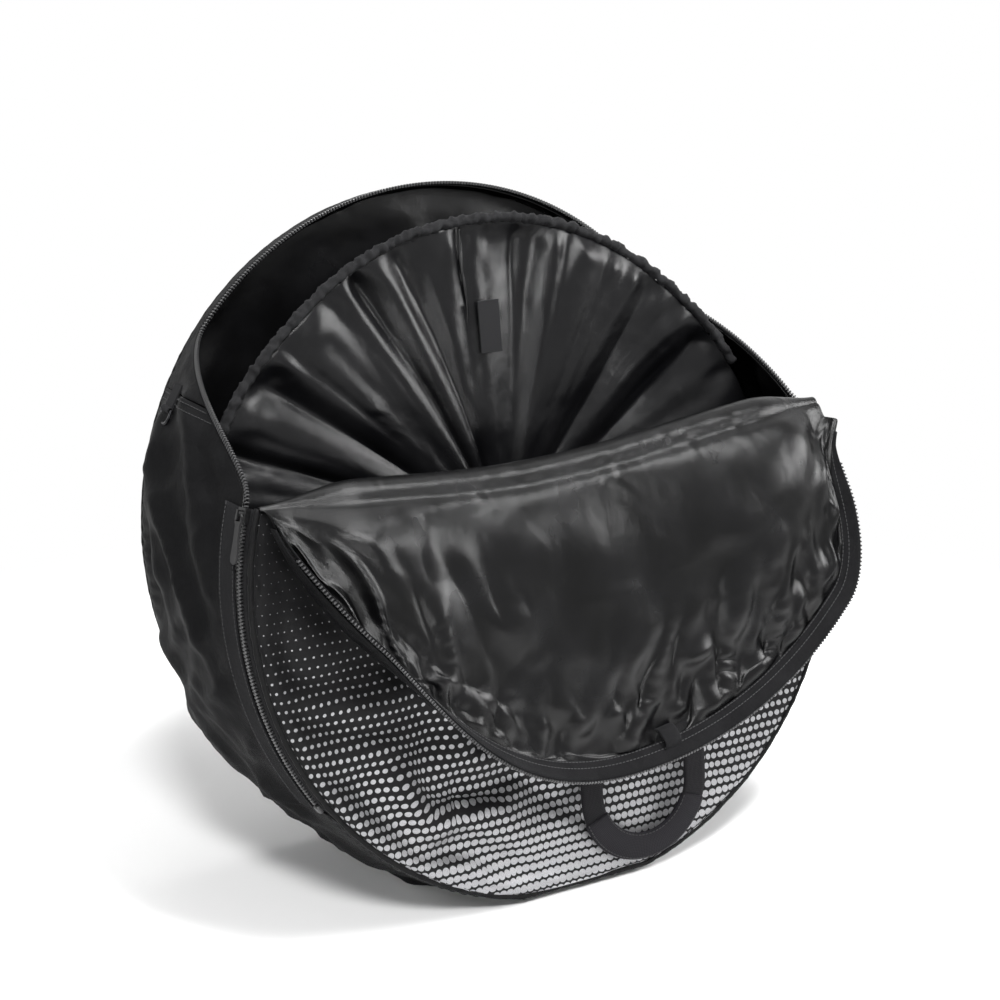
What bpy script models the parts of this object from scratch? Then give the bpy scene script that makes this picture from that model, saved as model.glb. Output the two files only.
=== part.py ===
"""Padded bag for two road wheels, standing open: half of its front hangs down as a flap.

Frame: metres, X to the right, Y to the back, Z up. The origin is the middle of the flat base.
Bag places are (u, w, v): u to the right of the front panel's centre, v up along the panel,
w into the bag. The panels lean back; place() turns (u, w, v) into world coordinates.
"""
import bpy
import bmesh
from math import asin, ceil, copysign, cos, degrees, floor, pi, radians, sin, sqrt
from mathutils import Vector

MM = 0.001

# Driving dimensions of the bag
RIM_RADIUS = 338 * MM          # outer face of the gusset at its seams with the panels
BAG_DEPTH = 250 * MM           # front face to rear face
BASE_DROP = 330 * MM           # panel centre down to the flat that the bag stands on
LEAN = radians(8.5)            # both panels lean back
FOLD_SHARE = 0.3018            # fold of the front above the panel centre, a share of the rim radius
ZIP_ZONE = 32 * MM             # front strip of the gusset that holds the zip
FACET = radians(6.0)           # step along the round edges

# Layers and seams
CLOTH = 1.5 * MM
FOAM = 4.0 * MM
LINING = 1.0 * MM
GAP = 0.3 * MM                 # between faces that touch
PIPING_RADIUS = 2.8 * MM
GUSSET_WALL = 3.0 * MM
GUSSET_BULGE = 12 * MM         # how far the gusset swells between its seams
GUSSET_STEPS = 3               # flats across the swell
SEAM = 2 * PIPING_RADIUS + 2 * GAP

# Zip: two tapes, a chain of teeth, and a slider on each side
TAPE_WIDTH = 9.0 * MM
TAPE_THICKNESS = 0.8 * MM
TAPE_SINK = 2.0 * MM           # tape's inner face below the gusset's outer face
TOOTH_PITCH = 11.0 * MM
TOOTH_REACH = 5.3 * MM         # across the chain
TOOTH_HEIGHT = 2.5 * MM
TOOTH_SEAT = 2.0 * MM          # how much of a tooth sits on its tape
CHAIN_OVERLAP = 2.6 * MM       # how far the closed rows reach past each other
CHAIN_END = radians(215.0)     # left end of the zip, counted from +u
STOP_LENGTH = 5 * MM
FACING_WIDTH = 24 * MM         # webbing strip beside the closed zip
FACING_THICKNESS = 1.0 * MM

# Open mouth: the gusset's free edge has slumped towards the rear
MOUTH_REST = 28 * MM           # free edge at the top, from the rear face
MOUTH_SLOPE_END = radians(139.0)
CROSS_SEAM = radians(151.0)    # upper and lower gusset meet here on the left

# Slider and pull tab
SLIDER_LENGTH = 14 * MM
SLIDER_FLANGE = 3.0 * MM
SLIDER_PLATE = 2.5 * MM
SLIDER_TOOTH_ROOM = 0.4 * MM
BRIDGE_LENGTH = 9 * MM
BRIDGE_WIDTH = 3 * MM
BRIDGE_BAR = 1.4 * MM
BRIDGE_GAP = 3.2 * MM
TAB_LENGTH = 46 * MM
TAB_WIDTH = 13 * MM
TAB_THICKNESS = 2.0 * MM
TAB_BAR = 2.0 * MM
TAB_EYE_LENGTH = 6 * MM
TAB_LIFT = radians(3.0)

# Flap: upper front panel with a band of gusset sewn round it, folded down inside out
FOLD_OFFSET = 12 * MM          # fold axis in front of the panel's face
BAND_WIDTH = 90 * MM           # band's full width, tape and teeth included
BAND_NARROW = 8 * MM           # cloth between seam and tape at the band's ends
BAND_START = radians(20.0)     # ends of the band, from the level of the panel's centre when shut
BAND_FULL = radians(44.0)      # the band is full width from here to the middle
# How far the hanging band stands out of the panel's plane, in degrees, at places round the flap
BAND_LIFTS = ((17, 55), (42, 28), (88, 38), (140, 85), (163, 88))

# Handles
HANDLE_SPAN = 125 * MM         # between the two legs' centres
HANDLE_WIDTH = 25 * MM
HANDLE_THICKNESS = 2.0 * MM
HANDLE_DROP = 272 * MM         # pivot line to the bow's outer edge
HANDLE_ANCHOR = 90 * MM        # pivot line below the panel's edge
HANDLE_SEAT = 10 * MM          # stretch of each leg that lies on its patch
HANDLE_SHIFT = 70 * MM         # the front handle hangs right of the middle
GRIP_THICKNESS = 5.0 * MM
HANDLE_FACET = radians(9.0)
GRIP_SHARE = 0.80              # share of the bow's half turn that the grip wraps
PATCH_HEIGHT = 38 * MM
PATCH_WIDTH = 32 * MM
PATCH_THICKNESS = 1.4 * MM

# Strap rings on the gusset
RING_ANGLE = radians(154.0)
RING_REST = 47 * MM            # ring middles, from the rear face
RING_WIRE = 1.7 * MM
RING_WIDTH = 30 * MM
RING_HEIGHT = 18 * MM
LOOP_LENGTH = 26 * MM
LOOP_THICKNESS = 2.4 * MM

# Divider between the wheels
DIVIDER_SHARE = 0.456          # divider's front face, a share of the bag's depth
DIVIDER_THICKNESS = 1.2 * MM
DIVIDER_CLEARANCE = 1.3 * MM   # to the gusset's lining
DIVIDER_TOP_RADIUS = 318 * MM
HEM_RADIUS = 5 * MM
TAB_PATCH_WIDTH = 24 * MM
TAB_PATCH_HEIGHT = 52 * MM
TAB_PATCH_THICKNESS = 2.2 * MM
TAB_PATCH_DROP = 76 * MM        # its top edge below the divider's free edge

# Small loop of tape on the satin side of the flap's band, beside its zip tape
FLAP_LOOP_LENGTH = 24 * MM     # across the band
FLAP_LOOP_THICKNESS = 1.6 * MM
FLAP_LOOP_ANGLE = radians(80.5)
FLAP_LOOP_SPREAD = radians(2.5)
FLAP_LOOP_INSET = 2 * MM       # from the edge of the band's cloth

# Small features, and shares of the piece that carries them
SLIDER_CHAMFER = 0.8 * MM
SLIDER_TAPER = 0.08
SLIDER_SHARES = (-0.5, -0.25, 0, 0.25, 0.5)
TAB_WAIST_SHARE = 0.72
RING_SEAT = 0.8 * MM
D_SHARES = (
    (-1, 0), (1, 0), (1, 0.45), (0.8, 0.78), (0.42, 0.97), (-0.42, 0.97), (-0.8, 0.78), (-1, 0.45),
)
DIVIDER_FREE_ANGLE = radians(165.0)
STOP_PASSED_SHARE = 0.9        # past this much of the stop the gusset reaches the front seam
STOP_STEP_SHARES = (0.2, 1)
STOP_LENGTH_SHARE = 0.75

# Worked out from the sizes above
TURN = 2 * pi
FOLD_HEIGHT = FOLD_SHARE * RIM_RADIUS
MOUTH_BACK = BAG_DEPTH - MOUTH_REST
RING_DEPTH = BAG_DEPTH - RING_REST
DIVIDER_DEPTH = DIVIDER_SHARE * BAG_DEPTH
SLIDER_ANGLE = pi - asin(FOLD_HEIGHT / RIM_RADIUS)
PANEL_RADIUS = RIM_RADIUS - 2 * PIPING_RADIUS - 5 * GAP
PIPING_CENTRE = PANEL_RADIUS + GAP + PIPING_RADIUS
SEAM_RADIUS = PIPING_CENTRE + PIPING_RADIUS + GAP
CENTRE_UP = BASE_DROP * cos(LEAN) + ZIP_ZONE * sin(LEAN)
FRONT_Y = -BAG_DEPTH / 2 + BASE_DROP * sin(LEAN)
TAPE_TOP = RIM_RADIUS - TAPE_SINK + TAPE_THICKNESS
TOOTH_BOTTOM = TAPE_TOP + GAP
TOOTH_TOP = TOOTH_BOTTOM + TOOTH_HEIGHT
FRONT_TAPE_BACK = SEAM + TAPE_WIDTH
FRONT_TOOTH = FRONT_TAPE_BACK - TOOTH_SEAT
BACK_TOOTH = FRONT_TOOTH + TOOTH_REACH - CHAIN_OVERLAP
GUSSET_TAPE = BACK_TOOTH + TOOTH_REACH - TOOTH_SEAT
TAPE_BACK = GUSSET_TAPE + TAPE_WIDTH
STOP_ANGLE = STOP_LENGTH / RIM_RADIUS
SEAM_MARGIN = GAP / 2 / RIM_RADIUS
FLAP_FACE = -2 * FOLD_OFFSET   # cloth side of the hanging flap
STACK = CLOTH + FOAM + LINING + 2 * GAP
BAND_CLOTH = BAND_WIDTH - TAPE_WIDTH - TOOTH_REACH + TOOTH_SEAT - GAP


def principled(name, hex_code, roughness, metallic=0.0):
    """A plain Principled material from an sRGB hex colour."""
    material = bpy.data.materials.new(name)
    material.use_nodes = True
    shader = material.node_tree.nodes["Principled BSDF"]
    channels = [int(hex_code[i:i + 2], 16) / 255 for i in (0, 2, 4)]
    shader.inputs["Base Color"].default_value = [c ** 2.2 for c in channels] + [1]
    shader.inputs["Roughness"].default_value = roughness
    shader.inputs["Metallic"].default_value = metallic
    return material


def place(point):
    """Bag coordinates (u, w, v) to world coordinates."""
    u, w, v = point
    near = min(w, ZIP_ZONE)
    far = max(w - ZIP_ZONE, 0)
    y = FRONT_Y + v * sin(LEAN) + near * cos(LEAN) + far
    z = CENTRE_UP + v * cos(LEAN) - near * sin(LEAN)
    return Vector((u, y, z))


def add_object(name, bm, material, smooth=True):
    """Writes a bmesh as a named object with its faces pointing out."""
    bmesh.ops.recalc_face_normals(bm, faces=bm.faces)
    mesh = bpy.data.meshes.new(name)
    bm.to_mesh(mesh)
    bm.free()
    if smooth:
        mesh.shade_smooth()
        mesh.set_sharp_from_angle(angle=radians(35))
    mesh.materials.append(material)
    result = bpy.data.objects.new(name, mesh)
    bpy.context.collection.objects.link(result)
    return result


def add_loft(bm, rings, closed=False, folded=False):
    """Skins equal rings of world points; open lofts get end caps.

    A folded section runs out along one face and back along the other. Its faces are cut into
    triangles on the same diagonal on both, so that layers on each other stay parallel.
    """
    loops = [[bm.verts.new(point) for point in ring] for ring in rings]
    count = len(loops)
    size = len(loops[0])
    for i in range(count if closed else count - 1):
        here = loops[i]
        there = loops[(i + 1) % count]
        for j in range(size):
            k = (j + 1) % size
            if not folded:
                bm.faces.new((here[j], here[k], there[k], there[j]))
            elif j < size / 2:
                bm.faces.new((here[j], here[k], there[k]))
                bm.faces.new((here[j], there[k], there[j]))
            else:
                bm.faces.new((here[j], here[k], there[j]))
                bm.faces.new((here[k], there[k], there[j]))
    if not closed:
        bm.faces.new(loops[0])
        bm.faces.new(loops[-1])


def loft(name, rings, material, closed=False, folded=False):
    bm = bmesh.new()
    add_loft(bm, rings, closed, folded)
    return add_object(name, bm, material)


def slab(name, outline, near, far, material):
    """A flat piece from an outline of (u, v) points, between two depths."""
    rings = [[place((u, w, v)) for u, v in outline] for w in (near, far)]
    return loft(name, rings, material)


def cord(name, points, radius, material, cyclic=False, sides=2):
    """A round cord along world points."""
    curve = bpy.data.curves.new(name, "CURVE")
    curve.dimensions = "3D"
    curve.bevel_depth = radius
    curve.bevel_resolution = sides - 1
    curve.use_fill_caps = not cyclic
    spline = curve.splines.new("POLY")
    spline.points.add(len(points) - 1)
    for target, point in zip(spline.points, points):
        target.co = (*point, 1)
    spline.use_cyclic_u = cyclic
    curve.materials.append(material)
    result = bpy.data.objects.new(name, curve)
    bpy.context.collection.objects.link(result)
    return result


def angles(first, last, step=FACET):
    """First, the multiples of step on the way, and last, so that neighbours share their facets."""
    low, high = sorted((first, last))
    inner = [i * step for i in range(ceil(low / step), floor(high / step) + 1)]
    kept = [a for a in inner if low + step / 4 < a < high - step / 4]
    result = [low] + kept + [high]
    return result if first < last else result[::-1]


def rim_point(radius, angle, inset=0.0):
    """(u, v) on the bag's outline, cut flat along the base; inset is the depth below the outer face."""
    return radius * cos(angle), max(radius * sin(angle), inset - BASE_DROP)


def swell(w):
    """How far the gusset stands out at a depth."""
    share = (w - ZIP_ZONE) / (BAG_DEPTH - SEAM - ZIP_ZONE)
    return GUSSET_BULGE * sin(pi * share) if 0 < share < 1 else 0.0


def smooth_share(share):
    share = min(max(share, 0.0), 1.0)
    return share * share * (3 - 2 * share)


def left_angle(angle):
    """The same place on the left half, as an angle from pi/2 to 3 pi/2."""
    angle = angle % TURN
    return angle if pi / 2 <= angle <= 3 * pi / 2 else (pi - angle) % TURN


def tape_edge(angle):
    """Depth of the gusset tape's front edge: level beside the closed zip, then back round the mouth."""
    share = (SLIDER_ANGLE - left_angle(angle)) / (SLIDER_ANGLE - MOUTH_SLOPE_END)
    return GUSSET_TAPE + (MOUTH_BACK - GUSSET_TAPE) * smooth_share(share)


def gusset_edge(angle):
    """Depth where the gusset's cloth starts: behind the tape, or at the front seam past the zip's end."""
    past = left_angle(angle) - CHAIN_END
    if past > STOP_ANGLE * STOP_PASSED_SHARE:
        return SEAM
    return tape_edge(angle) + TAPE_WIDTH + GAP


def rim_steps(first, last):
    """Steps along the rim with the breaks where the gusset's front edge turns, the same for each layer."""
    left = [CHAIN_END + share * STOP_ANGLE for share in STOP_STEP_SHARES]
    left += [CROSS_SEAM - SEAM_MARGIN, CROSS_SEAM + SEAM_MARGIN, SLIDER_ANGLE]
    left += angles(MOUTH_SLOPE_END, SLIDER_ANGLE, FACET / 2)
    steps = angles(first, last)
    for a in left + [pi - a for a in left] + [TURN + pi - a for a in left]:
        if first < a < last and min(abs(a - b) for b in steps) > SEAM_MARGIN / 4:
            steps.append(a)
    return sorted(steps)


def gusset_depths(angle):
    """Depths of the gusset's section: its front edge, then even steps to the rear seam."""
    near = gusset_edge(angle)
    far = BAG_DEPTH - SEAM
    start = ZIP_ZONE if near < ZIP_ZONE else near + (far - near) / (GUSSET_STEPS + 1)
    return [near] + [start + (far - start) * i / GUSSET_STEPS for i in range(GUSSET_STEPS + 1)]


def band_ring(angle, outer_inset, wall, depths):
    """Section of a gusset layer at one angle; outer_inset is its depth below the gusset's face."""
    outer = []
    inner = []
    for w in depths:
        radius = RIM_RADIUS + swell(w) - outer_inset
        u, v = rim_point(radius, angle, outer_inset)
        outer.append(place((u, w, v)))
        u, v = rim_point(radius - wall, angle, outer_inset + wall)
        inner.append(place((u, w, v)))
    return outer + inner[::-1]


def gusset_band(name, first, last, outer_inset, wall, material, nearest=0.0):
    """A strip of the gusset between two angles, from its front edge to the rear seam."""
    rings = []
    for a in rim_steps(first, last):
        depths = gusset_depths(a)
        depths[0] = max(depths[0], nearest)
        rings.append(band_ring(a, outer_inset, wall, depths))
    return loft(name, rings, material, folded=True)


def strip(name, first, last, near, far, outer_inset, wall, material):
    """A narrow band at depths near(angle) to far(angle)."""
    rings = [
        band_ring(a, outer_inset, wall, (near(a), far(a)))
        for a in rim_steps(*sorted((first, last)))
    ]
    return loft(name, rings, material, folded=True)


def comb(name, first, last, root, reach, material, odd):
    """A row of teeth on one bar: root(angle) is the bar's far depth, reach the teeth's length from it.

    Teeth stand at the odd or the even half pitches, so that two facing rows mesh.
    """
    half_pitch = TOOTH_PITCH / 2 / RIM_RADIUS
    rings = []
    for i in range(ceil(first / half_pitch), floor(last / half_pitch) + 1):
        a = i * half_pitch
        tip = root(a) + (reach if (i + odd) % 2 == 0 else copysign(TOOTH_SEAT, reach))
        corners = []
        for w, base in ((root(a), TOOTH_BOTTOM), (tip, TOOTH_BOTTOM), (tip, TOOTH_TOP), (root(a), TOOTH_TOP)):
            corners.append((base + swell(w), w))
        rings.append([place((r * cos(a), w, r * sin(a))) for r, w in corners])
    return loft(name, rings, material)


def mirrored(angle, side):
    """The left side's angle as it is for side -1, or its mirror image for side +1."""
    return angle if side < 0 else pi - angle


def panel_outline(radius, floor_inset, top):
    """The bag's round outline below a level line."""
    start = pi - asin(top / radius)
    end = TURN + asin(top / radius)
    return [rim_point(radius, a, floor_inset) for a in angles(start, end)]


def disc_outline(radius, floor_inset):
    """The bag's whole round outline."""
    steps = angles(pi / 2, pi / 2 + TURN)[:-1]
    return [rim_point(radius, a, floor_inset) for a in steps]


def hang(point):
    """A (u, v) point of the shut flap, where it lies when the flap hangs open."""
    u, v = point
    return u, 2 * FOLD_HEIGHT - v


def band_width(angle):
    """Width of the band's cloth at an angle of the shut flap."""
    share = (min(angle, pi - angle) - BAND_START) / (BAND_FULL - BAND_START)
    return BAND_NARROW + (BAND_CLOTH - BAND_NARROW) * smooth_share(share)


def band_lift(angle):
    """Angle between the hanging band and the panel's plane."""
    place_deg = degrees(angle)
    for (before, low), (after, high) in zip(BAND_LIFTS, BAND_LIFTS[1:]):
        if place_deg <= after:
            return radians(low + (high - low) * smooth_share((place_deg - before) / (after - before)))
    return radians(BAND_LIFTS[-1][1])


def band_place(angle, across, off):
    """World point on the band: across from its seam, off outwards from its inner face."""
    lift = band_lift(angle)
    radius = SEAM_RADIUS + across * cos(lift) + off * sin(lift)
    forward = PIPING_RADIUS + across * sin(lift) - off * cos(lift)
    u, v = hang((radius * cos(angle), radius * sin(angle)))
    return place((u, FLAP_FACE - forward, v))


def band_section(angle, near, far, low, high):
    """Section of a strip on the band, from near to far across it and from low to high off it."""
    corners = ((near, low), (far, low), (far, high), (near, high))
    return [band_place(angle, across, off) for across, off in corners]


def polar(radius_at, steps):
    return [(radius_at(a) * cos(a), radius_at(a) * sin(a)) for a in steps]


def make_front():
    outer = principled("printed_polyester", "1b1b1d", 0.6)
    foam = principled("foam", "3a3a3c", 0.9)
    satin = principled("satin_lining", "232325", 0.35)
    inset = RIM_RADIUS - PANEL_RADIUS
    outline = panel_outline(PANEL_RADIUS, inset, FOLD_HEIGHT - GAP)
    slab("front_panel", outline, 0, CLOTH, outer)
    foam_start = CLOTH + GAP
    slab("front_foam", outline, foam_start, foam_start + FOAM, foam)
    lining_start = foam_start + FOAM + GAP
    slab("front_lining", outline, lining_start, lining_start + LINING, satin)
    half = sqrt(PANEL_RADIUS ** 2 - FOLD_HEIGHT ** 2)
    ends = [place((side * half, -FOLD_OFFSET, FOLD_HEIGHT)) for side in (-1, 1)]
    cord("front_fold", ends, FOLD_OFFSET - GAP, satin, sides=4)


def make_rear():
    outer = principled("black_polyester_rear", "191919", 0.65)
    foam = principled("foam_rear", "3a3a3c", 0.9)
    satin = principled("satin_lining_rear", "232325", 0.35)
    outline = disc_outline(PANEL_RADIUS, RIM_RADIUS - PANEL_RADIUS)
    slab("rear_panel", outline, BAG_DEPTH - CLOTH, BAG_DEPTH, outer)
    foam_end = BAG_DEPTH - CLOTH - GAP
    slab("rear_foam", outline, foam_end - FOAM, foam_end, foam)
    lining_end = foam_end - FOAM - GAP
    slab("rear_lining", outline, lining_end - LINING, lining_end, satin)


def make_piping():
    material = principled("piping_cloth", "141414", 0.5)
    inset = RIM_RADIUS - PIPING_CENTRE
    front = [
        place((u, PIPING_RADIUS, v))
        for u, v in panel_outline(PIPING_CENTRE, inset, FOLD_HEIGHT - GAP)
    ]
    cord("front_piping", front, PIPING_RADIUS, material)
    rear = [
        place((u, BAG_DEPTH - PIPING_RADIUS, v))
        for u, v in disc_outline(PIPING_CENTRE, inset)
    ]
    cord("rear_piping", rear, PIPING_RADIUS, material, cyclic=True)


def make_gusset():
    cloth = principled("gusset_polyester", "181818", 0.7)
    satin = principled("satin_lining_gusset", "232325", 0.35)
    low = (CROSS_SEAM + SEAM_MARGIN, TURN + pi - CROSS_SEAM - SEAM_MARGIN)
    high = (pi - CROSS_SEAM + SEAM_MARGIN, CROSS_SEAM - SEAM_MARGIN)
    gusset_band("gusset_lower", *low, 0, GUSSET_WALL, cloth)
    gusset_band("gusset_upper", *high, 0, GUSSET_WALL, cloth)
    under = GUSSET_WALL + GAP
    gusset_band("gusset_lining_lower", *low, under, LINING, satin, nearest=STACK + GAP)
    gusset_band("gusset_lining_upper", *high, under, LINING, satin)


def make_zip():
    tape = principled("zip_tape", "2c2c2e", 0.8)
    nylon = principled("zip_teeth", "1a1a1a", 0.45)
    webbing = principled("facing_webbing", "262628", 0.8)
    ends = (pi - CHAIN_END, CHAIN_END)
    strip("gusset_tape", *ends, tape_edge, lambda a: tape_edge(a) + TAPE_WIDTH,
          TAPE_SINK - TAPE_THICKNESS, TAPE_THICKNESS, tape)
    comb("gusset_teeth", pi - CHAIN_END + STOP_ANGLE, CHAIN_END - STOP_ANGLE,
         lambda a: tape_edge(a) + TOOTH_SEAT, -TOOTH_REACH, nylon, odd=1)
    for side, label in ((-1, "left"), (1, "right")):
        first = mirrored(SLIDER_ANGLE, side)
        last = mirrored(CHAIN_END, side)
        strip("front_tape_" + label, first, last, lambda a: SEAM, lambda a: FRONT_TAPE_BACK,
              TAPE_SINK - TAPE_THICKNESS, TAPE_THICKNESS, tape)
        comb("front_teeth_" + label, *sorted((mirrored(CHAIN_END - STOP_ANGLE, side), first)),
             lambda a: FRONT_TOOTH, TOOTH_REACH, nylon, odd=0)
        stop = [mirrored(CHAIN_END - share * STOP_ANGLE, side) for share in (0, STOP_LENGTH_SHARE)]
        corners = [
            (TOOTH_BOTTOM, FRONT_TOOTH), (TOOTH_BOTTOM, BACK_TOOTH + TOOTH_REACH),
            (TOOTH_TOP, BACK_TOOTH + TOOTH_REACH), (TOOTH_TOP, FRONT_TOOTH),
        ]
        rings = [[place((r * cos(a), w, r * sin(a))) for r, w in corners] for a in stop]
        loft("zip_stop_" + label, rings, nylon)
        start = TAPE_BACK + 2 * GAP
        strip("zip_facing_" + label, first, last, lambda a: start,
              lambda a: start + FACING_WIDTH, -FACING_THICKNESS - GAP, FACING_THICKNESS, webbing)


def make_sliders():
    metal = principled("slider_zinc", "151515", 0.35, 0.8)
    rubber = principled("pull_tab", "1d1d1f", 0.5)
    middle = (FRONT_TOOTH + BACK_TOOTH + TOOTH_REACH) / 2
    room = (BACK_TOOTH + TOOTH_REACH - FRONT_TOOTH) / 2 + SLIDER_TOOTH_ROOM
    half = room + SLIDER_FLANGE
    plate_low = TOOTH_TOP + SLIDER_TOOTH_ROOM
    plate_high = plate_low + SLIDER_PLATE
    for side, label in ((-1, "left"), (1, "right")):
        direction = -side
        base = mirrored(SLIDER_ANGLE + SLIDER_LENGTH / 2 / RIM_RADIUS, side)
        profile = [
            (TOOTH_BOTTOM, -half), (TOOTH_BOTTOM, -room), (plate_low, -room), (plate_low, room),
            (TOOTH_BOTTOM, room), (TOOTH_BOTTOM, half),
            (plate_high - SLIDER_CHAMFER, half), (plate_high, half - SLIDER_CHAMFER),
            (plate_high, SLIDER_CHAMFER - half), (plate_high - SLIDER_CHAMFER, -half),
        ]
        rings = []
        for share in SLIDER_SHARES:
            a = base + direction * share * SLIDER_LENGTH / RIM_RADIUS
            narrow = 1 - SLIDER_TAPER * smooth_share(2 * share)
            rings.append([
                place((r * cos(a), middle + (w if abs(w) <= room else w * narrow), r * sin(a)))
                for r, w in profile])
        slider = loft("slider_" + label, rings, metal)
        foot = plate_high - SLIDER_PLATE / 2
        ceiling = plate_high + BRIDGE_GAP
        reach = BRIDGE_LENGTH / 2
        staple = [
            (-reach, foot), (-reach, ceiling + BRIDGE_BAR), (reach, ceiling + BRIDGE_BAR),
            (reach, foot), (reach - BRIDGE_BAR, foot), (reach - BRIDGE_BAR, ceiling),
            (BRIDGE_BAR - reach, ceiling), (BRIDGE_BAR - reach, foot),
        ]
        rings = []
        for w in (middle - BRIDGE_WIDTH / 2, middle + BRIDGE_WIDTH / 2):
            ring = []
            for offset, r in staple:
                a = base + direction * offset / RIM_RADIUS
                ring.append(place((r * cos(a), w, r * sin(a))))
            rings.append(ring)
        bridge = loft("bridge_" + label, rings, metal)
        bridge.hide_render = True
        bridge.display_type = "WIRE"
        union = slider.modifiers.new("bridge", "BOOLEAN")
        union.operation = "UNION"
        union.object = bridge
        pivot_radius = plate_high + BRIDGE_GAP / 2
        make_tab("pull_tab_" + label, base, direction, pivot_radius, middle, rubber)


def make_tab(name, angle, direction, radius, middle, material):
    """Pull tab with an eye round the slider's bridge, hanging beside the chain."""
    along = Vector((-sin(angle), cos(angle))) * direction
    out = Vector((cos(angle), sin(angle)))
    slope = along * cos(TAB_LIFT) - out * sin(TAB_LIFT)
    normal = out * cos(TAB_LIFT) + along * sin(TAB_LIFT)
    pivot = out * radius
    half = TAB_WIDTH / 2
    waist = half * TAB_WAIST_SHARE
    eye = half - TAB_BAR
    outer = [
        (-TAB_BAR / 2, -half + TAB_BAR), (-TAB_BAR / 2, half - TAB_BAR),
        (TAB_BAR / 2, half), (TAB_EYE_LENGTH, half),
        (TAB_EYE_LENGTH + 2 * TAB_BAR, waist), (TAB_LENGTH / 2, waist),
        (TAB_LENGTH - half, half), (TAB_LENGTH - TAB_BAR, half - TAB_BAR / 2),
        (TAB_LENGTH, 0), (TAB_LENGTH - TAB_BAR, TAB_BAR / 2 - half), (TAB_LENGTH - half, -half),
        (TAB_LENGTH / 2, -waist), (TAB_EYE_LENGTH + 2 * TAB_BAR, -waist),
        (TAB_EYE_LENGTH, -half), (TAB_BAR / 2, -half),
    ]
    inner = [(TAB_BAR / 2, -eye), (TAB_BAR / 2, eye), (TAB_EYE_LENGTH, eye), (TAB_EYE_LENGTH, -eye)]

    def at(offset, across, height):
        spot = pivot + slope * offset + normal * height
        return place((spot.x, middle + across, spot.y))

    bm = bmesh.new()
    levels = (-TAB_THICKNESS / 2, TAB_THICKNESS / 2)
    sheets = []
    for height in levels:
        outer_loop = [bm.verts.new(at(x, y, height)) for x, y in outer]
        inner_loop = [bm.verts.new(at(x, y, height)) for x, y in inner]
        sheets.append((outer_loop, inner_loop))
        edges = []
        for loop in (outer_loop, inner_loop):
            for i, vertex in enumerate(loop):
                edges.append(bm.edges.new((vertex, loop[(i + 1) % len(loop)])))
        bmesh.ops.triangle_fill(bm, edges=edges, use_beauty=True)
    for low, high in zip(sheets[0], sheets[1]):
        for i in range(len(low)):
            k = (i + 1) % len(low)
            bm.faces.new((low[i], low[k], high[k], high[i]))
    add_object(name, bm, material)


def make_divider():
    satin = principled("divider_satin", "262628", 0.3)
    elastic = principled("divider_elastic", "1c1c1c", 0.6)
    hook = principled("hook_and_loop", "101010", 0.95)
    near = DIVIDER_DEPTH
    far = DIVIDER_DEPTH + DIVIDER_THICKNESS
    inset = GUSSET_WALL + LINING + GAP + DIVIDER_CLEARANCE
    held = RIM_RADIUS + swell(near) - inset
    free_end = DIVIDER_FREE_ANGLE
    lower = [rim_point(held, a, inset) for a in angles(free_end, TURN + pi - free_end)]
    upper = polar(divider_edge, angles(pi - free_end + FACET, free_end - FACET))
    slab("divider", lower + upper, near, far, satin)
    centre = (near + far) / 2
    hem = [
        place(((divider_edge(a) + GAP + HEM_RADIUS) * cos(a), centre,
               (divider_edge(a) + GAP + HEM_RADIUS) * sin(a)))
        for a in angles(pi - free_end + 2 * FACET, free_end - 2 * FACET)
    ]
    cord("divider_hem", hem, HEM_RADIUS, elastic)
    half = TAB_PATCH_WIDTH / 2
    high = DIVIDER_TOP_RADIUS - TAB_PATCH_DROP
    low = high - TAB_PATCH_HEIGHT
    outline = [(-half, low), (half, low), (half, high), (-half, high)]
    slab("divider_tab", outline, near - GAP - TAB_PATCH_THICKNESS, near - GAP, hook)


def divider_edge(angle):
    """Radius of the divider's free upper edge."""
    share = 1 - abs(angle - pi / 2) / (DIVIDER_FREE_ANGLE - pi / 2)
    held = RIM_RADIUS - 2 * GUSSET_WALL
    return held + (DIVIDER_TOP_RADIUS - held) * smooth_share(2 * share)


def make_flap():
    outer = principled("flap_polyester", "1a1a1a", 0.65)
    foam = principled("foam_flap", "3a3a3c", 0.9)
    satin = principled("satin_lining_flap", "262629", 0.3)
    piping = principled("piping_flap", "141414", 0.5)
    cloth = principled("flap_gusset_satin", "28282a", 0.32)
    first = asin(FOLD_HEIGHT / PANEL_RADIUS)
    outline = [
        hang((PANEL_RADIUS * cos(a), PANEL_RADIUS * sin(a)))
        for a in angles(first, pi - first)
    ]
    face = FLAP_FACE
    slab("flap_panel", outline, face - CLOTH, face, outer)
    foam_end = face - CLOTH - GAP
    slab("flap_foam", outline, foam_end - FOAM, foam_end, foam)
    lining_end = foam_end - FOAM - GAP
    slab("flap_lining", outline, lining_end - LINING, lining_end, satin)
    start = asin(FOLD_HEIGHT / PIPING_CENTRE)
    path = [
        hang((PIPING_CENTRE * cos(a), PIPING_CENTRE * sin(a)))
        for a in angles(start, pi - start)
    ]
    cord("flap_piping", [place((u, face - PIPING_RADIUS, v)) for u, v in path], PIPING_RADIUS, piping)
    make_band(cloth)


def band_steps():
    """Stations along the band, one at each tooth."""
    pitch = TOOTH_PITCH / (RIM_RADIUS + BAND_WIDTH / 2)
    return [i * pitch for i in range(ceil(BAND_START / pitch), floor((pi - BAND_START) / pitch) + 1)]


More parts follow.
